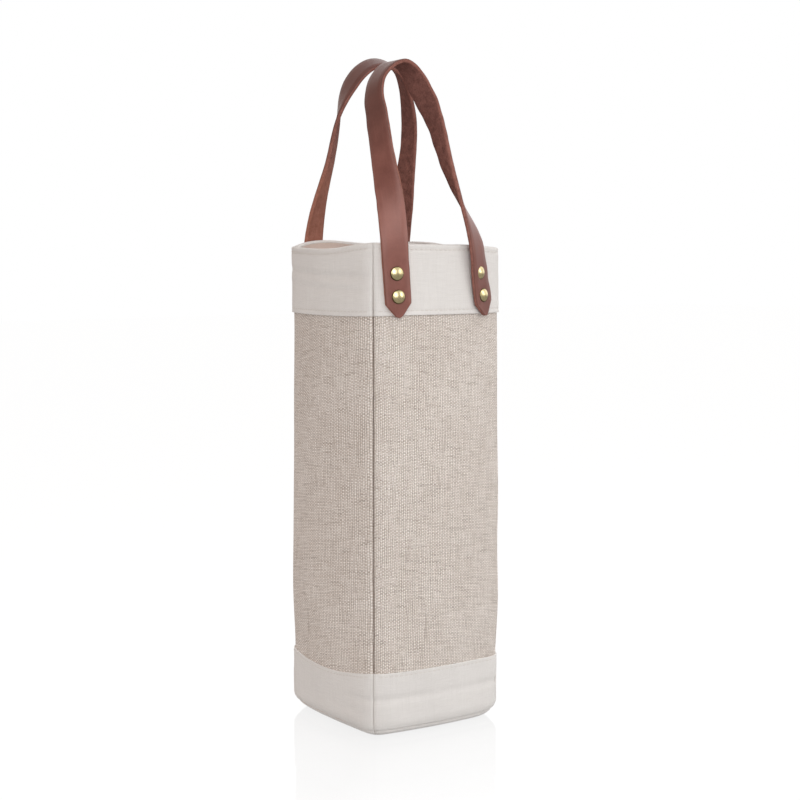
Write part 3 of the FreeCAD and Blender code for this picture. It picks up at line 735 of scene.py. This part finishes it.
def run_along(line):
    """Distance of each point of a line from its first one, along it."""
    return np.concatenate([[0.0], np.cumsum(np.linalg.norm(np.diff(line, axis=0), axis=1))])


def strap_frames(face):
    """Places along a strap, closer at its tips, with its grain side and breadth."""
    stations = strap_stations(face)
    places = np.array([place for place, outward, twist in stations])
    knots = run_along(places)
    fine = np.linspace(0.0, knots[-1], FINE_STEPS)
    line = spline(knots, places, fine)
    runs = run_along(line)
    around = np.gradient(line, runs, axis=0)
    middle = (places[0] + places[-1]) / 4 + places[len(places) // 2] / 2
    sides = []
    for (place, outward, twist), knot in zip(stations, knots):
        tangent = Vector(around[int(np.argmin(abs(fine - knot)))]).normalized()
        facing = (outward - tangent * outward.dot(tangent)).normalized()
        sideways = facing.cross(tangent)
        if sideways.dot(place - Vector(middle)) < 0:
            sideways = -sideways
        angle = math.radians(twist)
        sides.append(facing * math.cos(angle) + sideways * math.sin(angle))
    tip = np.linspace(0.0, STRAP_POINT, TIP_STEPS)
    middle_runs = np.linspace(STRAP_POINT, runs[-1] - STRAP_POINT, LOOP_STEPS)[1:-1]
    even = np.concatenate([tip, middle_runs, runs[-1] - tip[::-1]])
    parameter = np.interp(even, runs, fine)
    line = spline(knots, places, parameter)
    tangents = np.gradient(line, even, axis=0)
    tangents /= np.linalg.norm(tangents, axis=1)[:, None]
    normals = spline(knots, np.array(sides), parameter)
    normals -= tangents * (normals * tangents).sum(1)[:, None]
    normals /= np.linalg.norm(normals, axis=1)[:, None]
    return even, line, normals, np.cross(normals, tangents)


def strap_width(run, length):
    """Width of a strap at a distance from its left tip: pointed at both ends."""
    reach = min(run, length - run)
    pointed = STRAP_TIP_WIDTH + (STRAP_WIDTH - STRAP_TIP_WIDTH) * reach / STRAP_POINT
    nose = math.sqrt(max(0.0, 1 - max(0.0, 1 - reach / STRAP_NOSE) ** 2))
    pointed = max(STRAP_NOSE_LEAST, pointed * nose)
    blunt = STRAP_BLUNTNESS / STRAP_WIDTH
    return -math.log(math.exp(-blunt * pointed) + math.exp(-blunt * STRAP_WIDTH)) / blunt


def rivet_places(face, depth):
    """Centre, direction and upward direction of each rivet of a handle."""
    places = []
    for hand in HANDS:
        seat = seats[face, hand]
        for drop in RIVET_DROPS:
            places.append((seat.point(RIM - drop, depth), seat.outward, seat.along))
    return places


def strap(name, face, materials):
    """One leather strap from tip to tip: grain outside, raw edges, flesh side inside."""
    runs, line, normals, breadths = strap_frames(face)
    length = runs[-1]
    at_left, at_right = (seats[face, hand].waver for hand in HANDS)
    across_shares = (-1.0, -0.5, 0.0, 0.5, 1.0)
    points, coords, faces, choices = [], [], [], []
    rivets = [centre for centre, outward, upward in rivet_places(face, STRAP_SEAT + STRAP)]
    for run, place, normal, breadth in zip(runs, line, normals, breadths):
        half = strap_width(run, length) / 2
        waver = at_left + (at_right - at_left) * smoothstep(run / length)
        held = min(1.0, min(run, length - run) / STRAP_POINT)
        near, far = (
            half + waver * held * noise.noise(Vector((run / WAVER_PITCH, edge, 3.0 * HANDLES[face])))
            for edge in (0.0, 5.0)
        )
        thick = STRAP / 2
        bevel = min(STRAP_BEVEL, half * 0.4)
        flats = [share * ((far if share > 0 else near) - bevel) for share in across_shares]
        ring = [(across, thick) for across in flats]
        ring += [(far, thick - bevel), (far, 0.0), (far, bevel - thick)]
        ring += [(across, -thick) for across in reversed(flats)]
        ring += [(-near, bevel - thick), (-near, 0.0), (-near, thick - bevel)]
        for index, (across, rise) in enumerate(ring):
            point = Vector(place) + Vector(breadth) * across + Vector(normal) * rise
            if index < len(across_shares):
                off = min((point - rivet).length for rivet in rivets)
                point -= Vector(normal) * RIVET_DENT * math.exp(-((off / RIVET_DENT_REACH) ** 4))
            points.append(point)
            coords.append((run - length / 2, across, rise))
    count, flat = len(ring), len(across_shares)
    last = (len(runs) - 1) * count
    for row in range(0, last, count):
        for j, k in links(count):
            faces.append((row + j, row + k, row + count + k, row + count + j))
            outside, inside = j < flat or j == count - 1, flat + 3 <= j < 2 * flat + 2
            choices.append(0 if outside else 1 if inside else 2)
    faces.append(tuple(reversed(range(count))))
    faces.append(tuple(last + j for j in range(count)))
    choices += [2, 2]
    return new_piece(name, points, faces, coords, materials, choices)


def turned_set(name, profile, places, material, segments=RIVET_STEPS):
    """Identical turned pieces, each on its own axis."""
    points, coords, faces = [], [], []
    for centre, outward, upward in places:
        first = len(points)
        sideways = upward.cross(outward).normalized()
        for radius, height in profile[1:-1]:
            for turn in np.linspace(0, 2 * math.pi, segments + 1)[:-1]:
                radial = sideways * math.cos(turn) + upward * math.sin(turn)
                points.append(centre + radial * radius + outward * height)
                coords.append((radius, height, turn))
        last = len(points) - segments
        for a in range(first, last, segments):
            b = a + segments
            faces += [(a + k, a + i, b + i, b + k) for i, k in links(segments)]
        for (radius, height), a in ((profile[0], first), (profile[-1], last)):
            tip = len(points)
            points.append(centre + outward * height)
            coords.append((radius, height, 0.0))
            for i, k in links(segments):
                faces.append((a + i, a + k, tip) if a == first else (a + k, a + i, tip))
    return new_piece(name, points, faces, coords, [material])


def cap_profile(radius, height, sink):
    """Low domed rivet head with a rounded rim, from its crown to its underside."""
    roll = radius * CAP_ROLL
    inner = radius - roll
    brim = height * CAP_BRIM
    dome = [(inner * share, brim + (height - brim) * (1 - share**2)) for share in np.linspace(0, 1, 14)]
    rim = [(inner + roll * math.sin(a), brim - roll + roll * math.cos(a))
           for a in np.linspace(0, math.pi / 2, 6)]
    return dome + rim[1:] + [(radius, 0.0), (inner, -sink), (0.0, -sink)]


class Graph:
    """Node tree of a material or the world, with short calls for the nodes used here."""

    def __init__(self, owner):
        owner.use_nodes = True
        self.owner, self.tree = owner, owner.node_tree
        self.tree.nodes.clear()

    def put(self, node, name, value):
        socket = node.inputs[name]
        if isinstance(value, bpy.types.NodeSocket):
            self.tree.links.new(value, socket)
        else:
            socket.default_value = (*value, 1.0) if socket.type == "RGBA" else value

    def node(self, kind, **inputs):
        made = self.tree.nodes.new(kind)
        for name, value in inputs.items():
            self.put(made, name.replace("_", " "), value)
        return made

    def math(self, operation, *values):
        made = self.node("ShaderNodeMath")
        made.operation = operation
        for index, value in enumerate(values):
            self.put(made, index, value)
        return made.outputs[0]

    def times(self, first, second):
        return self.math("MULTIPLY", first, second)

    def vector(self, operation, first, second):
        made = self.node("ShaderNodeVectorMath")
        made.operation = operation
        self.put(made, 0, first)
        self.put(made, "Scale" if operation == "SCALE" else 1, second)
        return made.outputs["Value" if operation == "DOT_PRODUCT" else "Vector"]

    def mix(self, share, low, high):
        made = self.node("ShaderNodeMix")
        made.data_type = "RGBA"
        for index, value in ((0, share), (6, low), (7, high)):
            self.put(made, index, value)
        return made.outputs[2]

    def blend(self, share, first, second):
        made = self.node("ShaderNodeMixShader")
        for index, value in enumerate((share, first, second)):
            self.put(made, index, value)
        return made.outputs[0]

    def span(self, value, low, high, to_low, to_high):
        made = self.node(
            "ShaderNodeMapRange", Value=value, From_Min=low, From_Max=high, To_Min=to_low, To_Max=to_high
        )
        return made.outputs["Result"]

    def noise(self, vector, scale, detail=2.0, roughness=0.5, output="Fac"):
        made = self.node(
            "ShaderNodeTexNoise", Vector=vector, Scale=scale, Detail=detail, Roughness=roughness
        )
        return made.outputs[output]

    def spread(self, value, low, high):
        """A noise carried from its usual range to another one."""
        return self.span(value, *NOISE_RANGE, low, high)

    def coordinates(self):
        made = self.node("ShaderNodeAttribute")
        made.attribute_name = "cloth"
        return made.outputs["Vector"]

    def split(self, vector):
        return self.node("ShaderNodeSeparateXYZ", Vector=vector).outputs

    def join(self, x, y, z=0.0):
        return self.node("ShaderNodeCombineXYZ", X=x, Y=y, Z=z).outputs[0]


class Surface(Graph):
    """Material with one principled shader."""

    def __init__(self, name):
        super().__init__(bpy.data.materials.new(name))
        self.shader = self.node("ShaderNodeBsdfPrincipled")
        self.output = self.node("ShaderNodeOutputMaterial", Surface=self.shader.outputs["BSDF"])

    def place(self):
        return self.node("ShaderNodeTexCoord").outputs["Object"]

    def set(self, **inputs):
        for name, value in inputs.items():
            self.put(self.shader, name.replace("_", " "), value)

    def bump(self, height, distance, strength):
        made = self.node("ShaderNodeBump", Height=height, Distance=distance, Strength=strength)
        self.set(Normal=made.outputs["Normal"])


def woven(name, pitches, warp_tones, weft_tones, shade_and_slub_tone, seam, slub_and_parting_shade, uneven, relief, sheen, hollow=(0.1, 0.7)):
    """Plain weave: rounded threads that pass over and under, uneven in tone and thickness; painted shade in
    hollows and at seams.
    """
    g = Surface(name)
    cloth = g.coordinates()
    drift = g.vector("SUBTRACT", g.noise(cloth, 70.0, output="Color"), (0.5, 0.5, 0.5))
    place = g.vector("ADD", cloth, g.vector("SCALE", drift, pitches[0] * 0.8))
    u, v, w = g.split(place)

    def counted(place, pitch, run):
        """Number of threads up to a place, wandering along their run."""
        even = g.math("MULTIPLY_ADD", place, 1 / pitch, THREADS_START)
        return g.math("MULTIPLY_ADD", g.noise(run, 1.0, 1.0), uneven, even)

    across = counted(u, pitches[0], g.join(g.times(u, 0.7 / pitches[0]), g.times(v, 90.0)))
    along = counted(v, pitches[1], g.join(g.times(u, 90.0), g.times(v, 0.7 / pitches[1]), 5.0))
    warp, weft = g.math("FLOOR", across), g.math("FLOOR", along)
    over = g.math("MODULO", g.math("ADD", warp, weft), 2.0)
    round_warp, round_weft = (
        g.math("SINE", g.times(g.math("FRACT", threads), math.pi)) for threads in (across, along)
    )
    warp_high, weft_high = (
        g.times(g.math("POWER", own, 0.6), g.math("MULTIPLY_ADD", other, 0.5, 0.5))
        for own, other in ((round_warp, round_weft), (round_weft, round_warp))
    )
    height = g.mix(over, weft_high, warp_high)
    warp_run = g.join(g.times(warp, 0.731), g.times(v, 45.0))
    weft_run = g.join(g.times(weft, 0.617), g.times(u, 80.0), 9.0)
    warp_tone, weft_tone = (g.spread(g.noise(run, 1.0), 0.0, 1.0) for run in (warp_run, weft_run))
    fibre = g.noise(place, 2600.0, 3.0)
    blotch = g.spread(g.noise(cloth, 22.0, 3.0), -0.2, 0.2)
    stray = g.math("ADD", blotch, g.spread(fibre, -0.2, 0.2))
    weft_dark = g.span(g.noise(weft_run, 0.9, 1.0), 0.61, 0.70, 0.0, slub_and_parting_shade)
    warp_dark = g.span(g.noise(warp_run, 0.9, 1.0), 0.65, 0.74, 0.0, slub_and_parting_shade)
    made = g.mix(
        over,
        g.mix(weft_dark, g.mix(g.math("ADD", weft_tone, stray), *weft_tones), shade_and_slub_tone),
        g.mix(warp_dark, g.mix(g.math("ADD", warp_tone, stray), *warp_tones), shade_and_slub_tone),
    )
    # Painted shade in the hollows of the weave, where the threads sink.
    made = g.mix(g.span(height, *hollow, 0.0, 1.0), shade_and_slub_tone, made)
    # Painted shade between weft threads where the rows part.
    parted = g.noise(g.join(g.times(weft, 0.731), g.times(u, 115.0), 4.0), 0.9, 1.0)
    between = g.span(round_weft, 0.35, 0.85, slub_and_parting_shade, 0.0)
    made = g.mix(g.times(between, g.span(parted, 0.59, 0.68, 0.0, 1.3)), made, shade_and_slub_tone)
    # Painted shade along the seams.
    edge = g.math("ABSOLUTE", g.split(cloth)[2])
    shade = g.span(edge, HALF_PANEL - 2 * SEAM_SHADE, HALF_PANEL - SEAM_SHADE, 0.0, seam)
    g.set(
        Base_Color=g.mix(shade, made, shade_and_slub_tone), Roughness=g.spread(fibre, 0.8, 0.95),
        Sheen_Weight=sheen, Sheen_Roughness=0.6, Specular_IOR_Level=0.2,
    )
    g.bump(g.math("MULTIPLY_ADD", fibre, 0.25, height), relief, 0.7)
    return g.owner


def leather_grain():
    g = Surface("leather_grain")
    cloth = g.coordinates()
    run, across, rise = g.split(cloth)
    pores = g.noise(cloth, 1500.0, 3.0)
    cells = g.node("ShaderNodeTexVoronoi", Vector=cloth, Scale=1100.0).outputs["Distance"]
    mottle = g.noise(cloth, 60.0, 4.0, 0.6)
    streaks = g.noise(g.vector("MULTIPLY", cloth, (40.0, 700.0, 1.0)), 1.0, 3.0)
    edge = g.math("ABSOLUTE", across)
    # Painted shade near the crown of the loop.
    painted_shade = g.span(g.math("ABSOLUTE", run), *CROWN_SHADE_REACH, CROWN_SHADE_GRAIN, 0.0)
    # Painted shade at the right end of the strap.
    painted_shade = g.math("ADD", painted_shade, g.span(run, *RIGHT_END_SHADE, 0.0, RIGHT_END_SHADE_SHARE))
    # Painted highlight where the grain side bends over the rim on the left.
    off_highlight = g.math("ABSOLUTE", g.math("SUBTRACT", run, BEND_HIGHLIGHT))
    base = g.mix(g.spread(mottle, 0.0, 1.0), (0.174, 0.0625, 0.0485), (0.250, 0.0965, 0.0755))
    for share, tone in (
        (g.span(streaks, 0.55, 0.8, 0.0, 0.35), (0.30, 0.130, 0.100)),
        (g.span(pores, 0.25, 0.45, 0.35, 0.0), (0.10, 0.038, 0.030)),
        (g.span(edge, STRAP_WIDTH * 0.36, STRAP_WIDTH * 0.42, 0.0, 0.22), (0.34, 0.150, 0.118)),
        (g.span(edge, STRAP_WIDTH * 0.46, STRAP_WIDTH * 0.50, 0.0, 0.5), (0.060, 0.024, 0.019)),
        (painted_shade, (0.050, 0.021, 0.018)),
        (g.span(off_highlight, *BEND_HIGHLIGHT_REACH, BEND_HIGHLIGHT_SHARE, 0.0), (0.40, 0.186, 0.153)),
    ):
        base = g.mix(share, base, tone)
    g.set(Base_Color=base, Roughness=g.spread(mottle, 0.38, 0.48), Specular_IOR_Level=0.30)
    g.bump(g.math("MULTIPLY_ADD", cells, 0.6, pores), 0.0002, 0.35)
    return g.owner


def leather_rough(name, dark, light, relief):
    """Flesh side and raw cut edges: short matted fibres."""
    g = Surface(name)
    cloth = g.coordinates()
    run = g.split(cloth)[0]
    fibres = g.noise(g.vector("MULTIPLY", cloth, (700.0, 1500.0, 1500.0)), 1.0, 4.0, 0.65)
    clumps = g.noise(cloth, 240.0, 3.0)
    share = g.math("ADD", g.spread(fibres, 0.0, 0.7), g.spread(clumps, 0.0, 0.4))
    # Painted shade near the crown of the loop.
    painted_shade = g.span(g.math("ABSOLUTE", run), *CROWN_SHADE_REACH, CROWN_SHADE_FLESH, 0.0)
    made = g.mix(painted_shade, g.mix(share, dark, light), dark)
    # Painted light at the left end of the strap.
    made = g.mix(g.span(run, *LEFT_END_LIGHT, LEFT_END_LIGHT_SHARE, 0.0), made, (0.43, 0.176, 0.107))
    g.set(Base_Color=made, Roughness=0.92, Specular_IOR_Level=0.08)
    g.bump(fibres, relief, 0.8)
    return g.owner


def brass():
    g = Surface("antique_brass")
    radius = g.split(g.coordinates())[0]
    tarnish = g.noise(g.place(), 420.0, 4.0, 0.6)
    # Dark ring at the rim of the head: partly darker antique finish, partly painted shade of the gap round
    # the rivet.
    rim = g.span(radius, RIVET_CAP * 0.84, RIVET_CAP * 0.93, 0.0, 0.95)
    share = g.math("ADD", g.span(tarnish, 0.4, 0.75, 0.0, 0.35), rim)
    made = g.mix(share, (0.80, 0.67, 0.37), (0.10, 0.070, 0.024))
    g.set(Base_Color=made, Metallic=1.0, Roughness=g.spread(tarnish, 0.24, 0.34))
    g.bump(tarnish, 0.00002, 0.15)
    return g.owner


def soft_mass(name, dark, light, scale):
    """Wadding, board or thread: matted fibres in two tones."""
    g = Surface(name)
    fibres = g.noise(g.place(), scale, 5.0, 0.7)
    g.set(Base_Color=g.mix(g.spread(fibres, 0.0, 1.0), dark, light), Roughness=0.95)
    g.bump(fibres, 0.0003, 0.5)
    return g.owner


jute_cloth = woven(
    "jute_weave", pitches=(0.00137, 0.00101),
    warp_tones=((0.79, 0.723, 0.667), (0.915, 0.853, 0.80)),
    weft_tones=((0.625, 0.52, 0.45), (0.815, 0.727, 0.66)), shade_and_slub_tone=(0.20, 0.140, 0.102),
    seam=0.66, slub_and_parting_shade=0.31, uneven=0.8, relief=0.00060, sheen=0.10, hollow=(0.15, 0.62),
)
canvas_cloth = woven(
    "canvas_weave", pitches=(0.00062, 0.00062),
    warp_tones=((0.77, 0.735, 0.705), (0.86, 0.825, 0.795)),
    weft_tones=((0.76, 0.725, 0.695), (0.85, 0.815, 0.785)), shade_and_slub_tone=(0.62, 0.575, 0.54),
    seam=0.5, slub_and_parting_shade=0.0, uneven=0.5, relief=0.00027, sheen=0.12,
)
lining_cloth = woven(
    "lining_weave", pitches=(0.00050, 0.00050),
    warp_tones=((0.68, 0.55, 0.48), (0.80, 0.66, 0.585)),
    weft_tones=((0.66, 0.53, 0.46), (0.78, 0.64, 0.565)), shade_and_slub_tone=(0.50, 0.39, 0.33),
    seam=0.3, slub_and_parting_shade=0.0, uneven=0.5, relief=0.00016, sheen=0.1,
)
thread = soft_mass("thread", (0.62, 0.57, 0.53), (0.78, 0.735, 0.695), 3000.0)
wadding = soft_mass("wadding", (0.74, 0.73, 0.71), (0.86, 0.85, 0.83), 300.0)
card = soft_mass("grey_board", (0.30, 0.28, 0.25), (0.42, 0.39, 0.35), 500.0)
grain = leather_grain()
flesh = leather_rough("leather_flesh", (0.084, 0.034, 0.029), (0.355, 0.158, 0.127), 0.0004)
raw_edge = leather_rough("leather_raw_edge", (0.150, 0.060, 0.047), (0.36, 0.160, 0.128), 0.0003)
brass_metal = brass()

# Walls, sewn from four panels a layer.
for side in SIDES:
    jute = swept_panel(f"jute_panel_{side}", side, JUTE_PROFILE, jute_cloth, *JUTE_LAYS[side])
    pad = swept_panel(f"wadding_panel_{side}", side, WADDING_PROFILE, wadding)
    lining = swept_panel(f"lining_panel_{side}", side, LINING_PROFILE, lining_cloth)
    slacken(lining, side)
    cuff = swept_panel(f"cuff_strip_{side}", side, cuff_profile(side), canvas_cloth)
    band = swept_panel(f"band_strip_{side}", side, band_profile(side), canvas_cloth)
    for piece, node, slot in (
        (jute, "jute", "jute"), (pad, "padding", "padding"), (lining, "lining", "lining"),
        (cuff, "cuff", "canvas"), (band, "base_band", "canvas"),
    ):
        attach(piece, "bag")
        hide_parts(f"{node}_{side}")

# Layers of the base. The stiffening board keeps its own shape.
pad_low, pad_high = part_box("padding_base")
floor_low, floor_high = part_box("lining_base")
for name, node, inset, low, high, material, slot in (
    ("base_cloth", "base_panel", BASE_ROUNDING - CANVAS, 0.0, CANVAS, canvas_cloth, "canvas"),
    ("wadding_base", "padding_base", HALF_WIDTH - pad_high.x, pad_low.z, pad_high.z, wadding, "padding"),
    (
        "lining_floor", "lining_base", HALF_WIDTH - floor_high.x,
        floor_low.z, floor_high.z, lining_cloth, "lining",
    ),
):
    piece = plate(name, inset, low, high, material)
    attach(piece, "bag")
    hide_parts(node)
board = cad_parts["base_board"]
board.data.materials.clear()
board.data.materials.append(card)

# Rows of stitching.
for name, out, height, lifts in (
    ("stitches_rim", CANVAS, RIM - RIM_STITCH_DROP, None),
    ("stitches_hem", CANVAS + CUFF_FLARE, CUFF_FOOT + HEM_STITCH_RISE, HEM_LIFTS),
    ("stitches_band", CANVAS, BAND_TOP - BAND_STITCH_DROP, BAND_LIFTS),
):
    row = stitch_row(name, out, height, lifts, thread)
    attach(row, "bag")

# Straps and rivets.
for face in HANDLES:
    handle = strap(f"strap_{face}", face, [grain, flesh, raw_edge])
    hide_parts(f"handle_loop_{face}", f"strap_end_{face}_left", f"strap_end_{face}_right")
    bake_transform(handle)
    caps = turned_set(
        f"rivet_heads_{face}", cap_profile(RIVET_CAP, RIVET_DOME, RIVET_SINK),
        rivet_places(face, STRAP_SEAT + STRAP - RIVET_SINK), brass_metal,
    )
    inside = [(centre, -outward, upward) for centre, outward, upward in
              rivet_places(face, -CANVAS - UNDER_LINING)]
    backs = turned_set(
        f"rivet_feet_{face}", cap_profile(RIVET_BACK, RIVET_BACK_DOME, RIVET_SINK), inside, brass_metal
    )
    for piece, node in ((caps, f"rivet_caps_{face}"), (backs, f"rivet_backs_{face}")):
        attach(piece, "bag")
        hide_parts(node)


def floor_material():
    """White sweep: lit evenly for the camera, dimmer as a source of light, glossy near the bag."""
    g = Surface("pale_floor")
    place = g.place()
    far = g.math("MAXIMUM", *(g.math("ABSOLUTE", axis) for axis in g.split(place)[:2]))
    gloss = g.span(far, *GLOSS_REACH, *GLOSS_SHARES)
    speck = g.span(g.noise(place, 3.0), 0.0, 1.0, 0.03, 0.05)
    shine = g.node("ShaderNodeBsdfAnisotropic", Roughness=speck).outputs[0]
    matt = g.node("ShaderNodeBsdfDiffuse", Color=(0.8, 0.8, 0.8)).outputs[0]
    path = g.node("ShaderNodeLightPath").outputs
    bounce = g.span(path["Is Glossy Ray"], 0.0, 1.0, FLOOR_BOUNCE, FLOOR_MIRRORED)
    strength = g.span(path["Is Camera Ray"], 0.0, 1.0, bounce, FLOOR_WHITE)
    lit = g.node("ShaderNodeEmission", Strength=strength).outputs[0]
    base = g.blend(FLOOR_MATT_SHARE, lit, matt)
    g.put(g.output, "Surface", g.blend(gloss, base, shine))
    return g.owner


floor_mesh = bpy.data.meshes.new("floor")
corners = [(x * FLOOR_HALF, y * FLOOR_HALF, 0.0) for x, y in ((-1, -1), (1, -1), (1, 1), (-1, 1))]
floor_mesh.from_pydata(corners, [], [(0, 1, 2, 3)])
floor_mesh.materials.append(floor_material())
floor = placed("floor", floor_mesh)
floor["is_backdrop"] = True

turn, pitch = math.radians(CAMERA_TURN), math.radians(CAMERA_PITCH)
back = Vector((-math.sin(turn), -math.cos(turn), 0.0))
right = Vector((math.cos(turn), -math.sin(turn), 0.0))
for name, aside, distance, height, size, power in LIGHTS:
    swing = math.radians(aside)
    place = (back * math.cos(swing) + right * math.sin(swing)) * distance + up(height)
    light = bpy.data.lights.new(name, "AREA")
    light.shape = "RECTANGLE"
    light.size, light.size_y = size
    light.energy = power
    lamp = placed(name, light)
    lamp.location = place
    lamp.rotation_euler = (up(min(height, LIGHT_AIM)) - place).to_track_quat("-Z", "Y").to_euler()

g = Graph(bpy.data.worlds.new("surround"))
bpy.context.scene.world = g.owner
direction = g.node("ShaderNodeTexCoord").outputs["Generated"]
seen = g.node("ShaderNodeLightPath").outputs["Is Camera Ray"]
leftward = g.span(g.vector("DOT_PRODUCT", direction, -right), 0.0, 1.0, 0.0, 1.0)
tint = g.mix(seen, g.mix(leftward, WHITE, LEFT_TINT), WHITE)
unseen = g.span(g.vector("DOT_PRODUCT", direction, back), -1.0, 1.0, *SURROUND)
shade = g.node("ShaderNodeBackground", Color=tint, Strength=g.span(seen, 0.0, 1.0, unseen, 1.0))
g.node("ShaderNodeOutputWorld", Surface=shade.outputs[0])
bpy.context.scene.view_settings.view_transform = "Standard"

# Camera.
aim = -back * math.cos(pitch) - up(math.sin(pitch))
upward = right.cross(aim)
camera_data = bpy.data.cameras.new("camera")
camera_data.lens = LENS_MM
camera_data.sensor_width = SENSOR_MM
camera = placed("camera", camera_data)
camera.matrix_world = Matrix.Translation(
    back * CAMERA_DISTANCE + right * CAMERA_ASIDE + up(CAMERA_HEIGHT)
) @ Matrix((right, upward, -aim)).transposed().to_4x4()
bpy.context.scene.camera = camera

low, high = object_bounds()
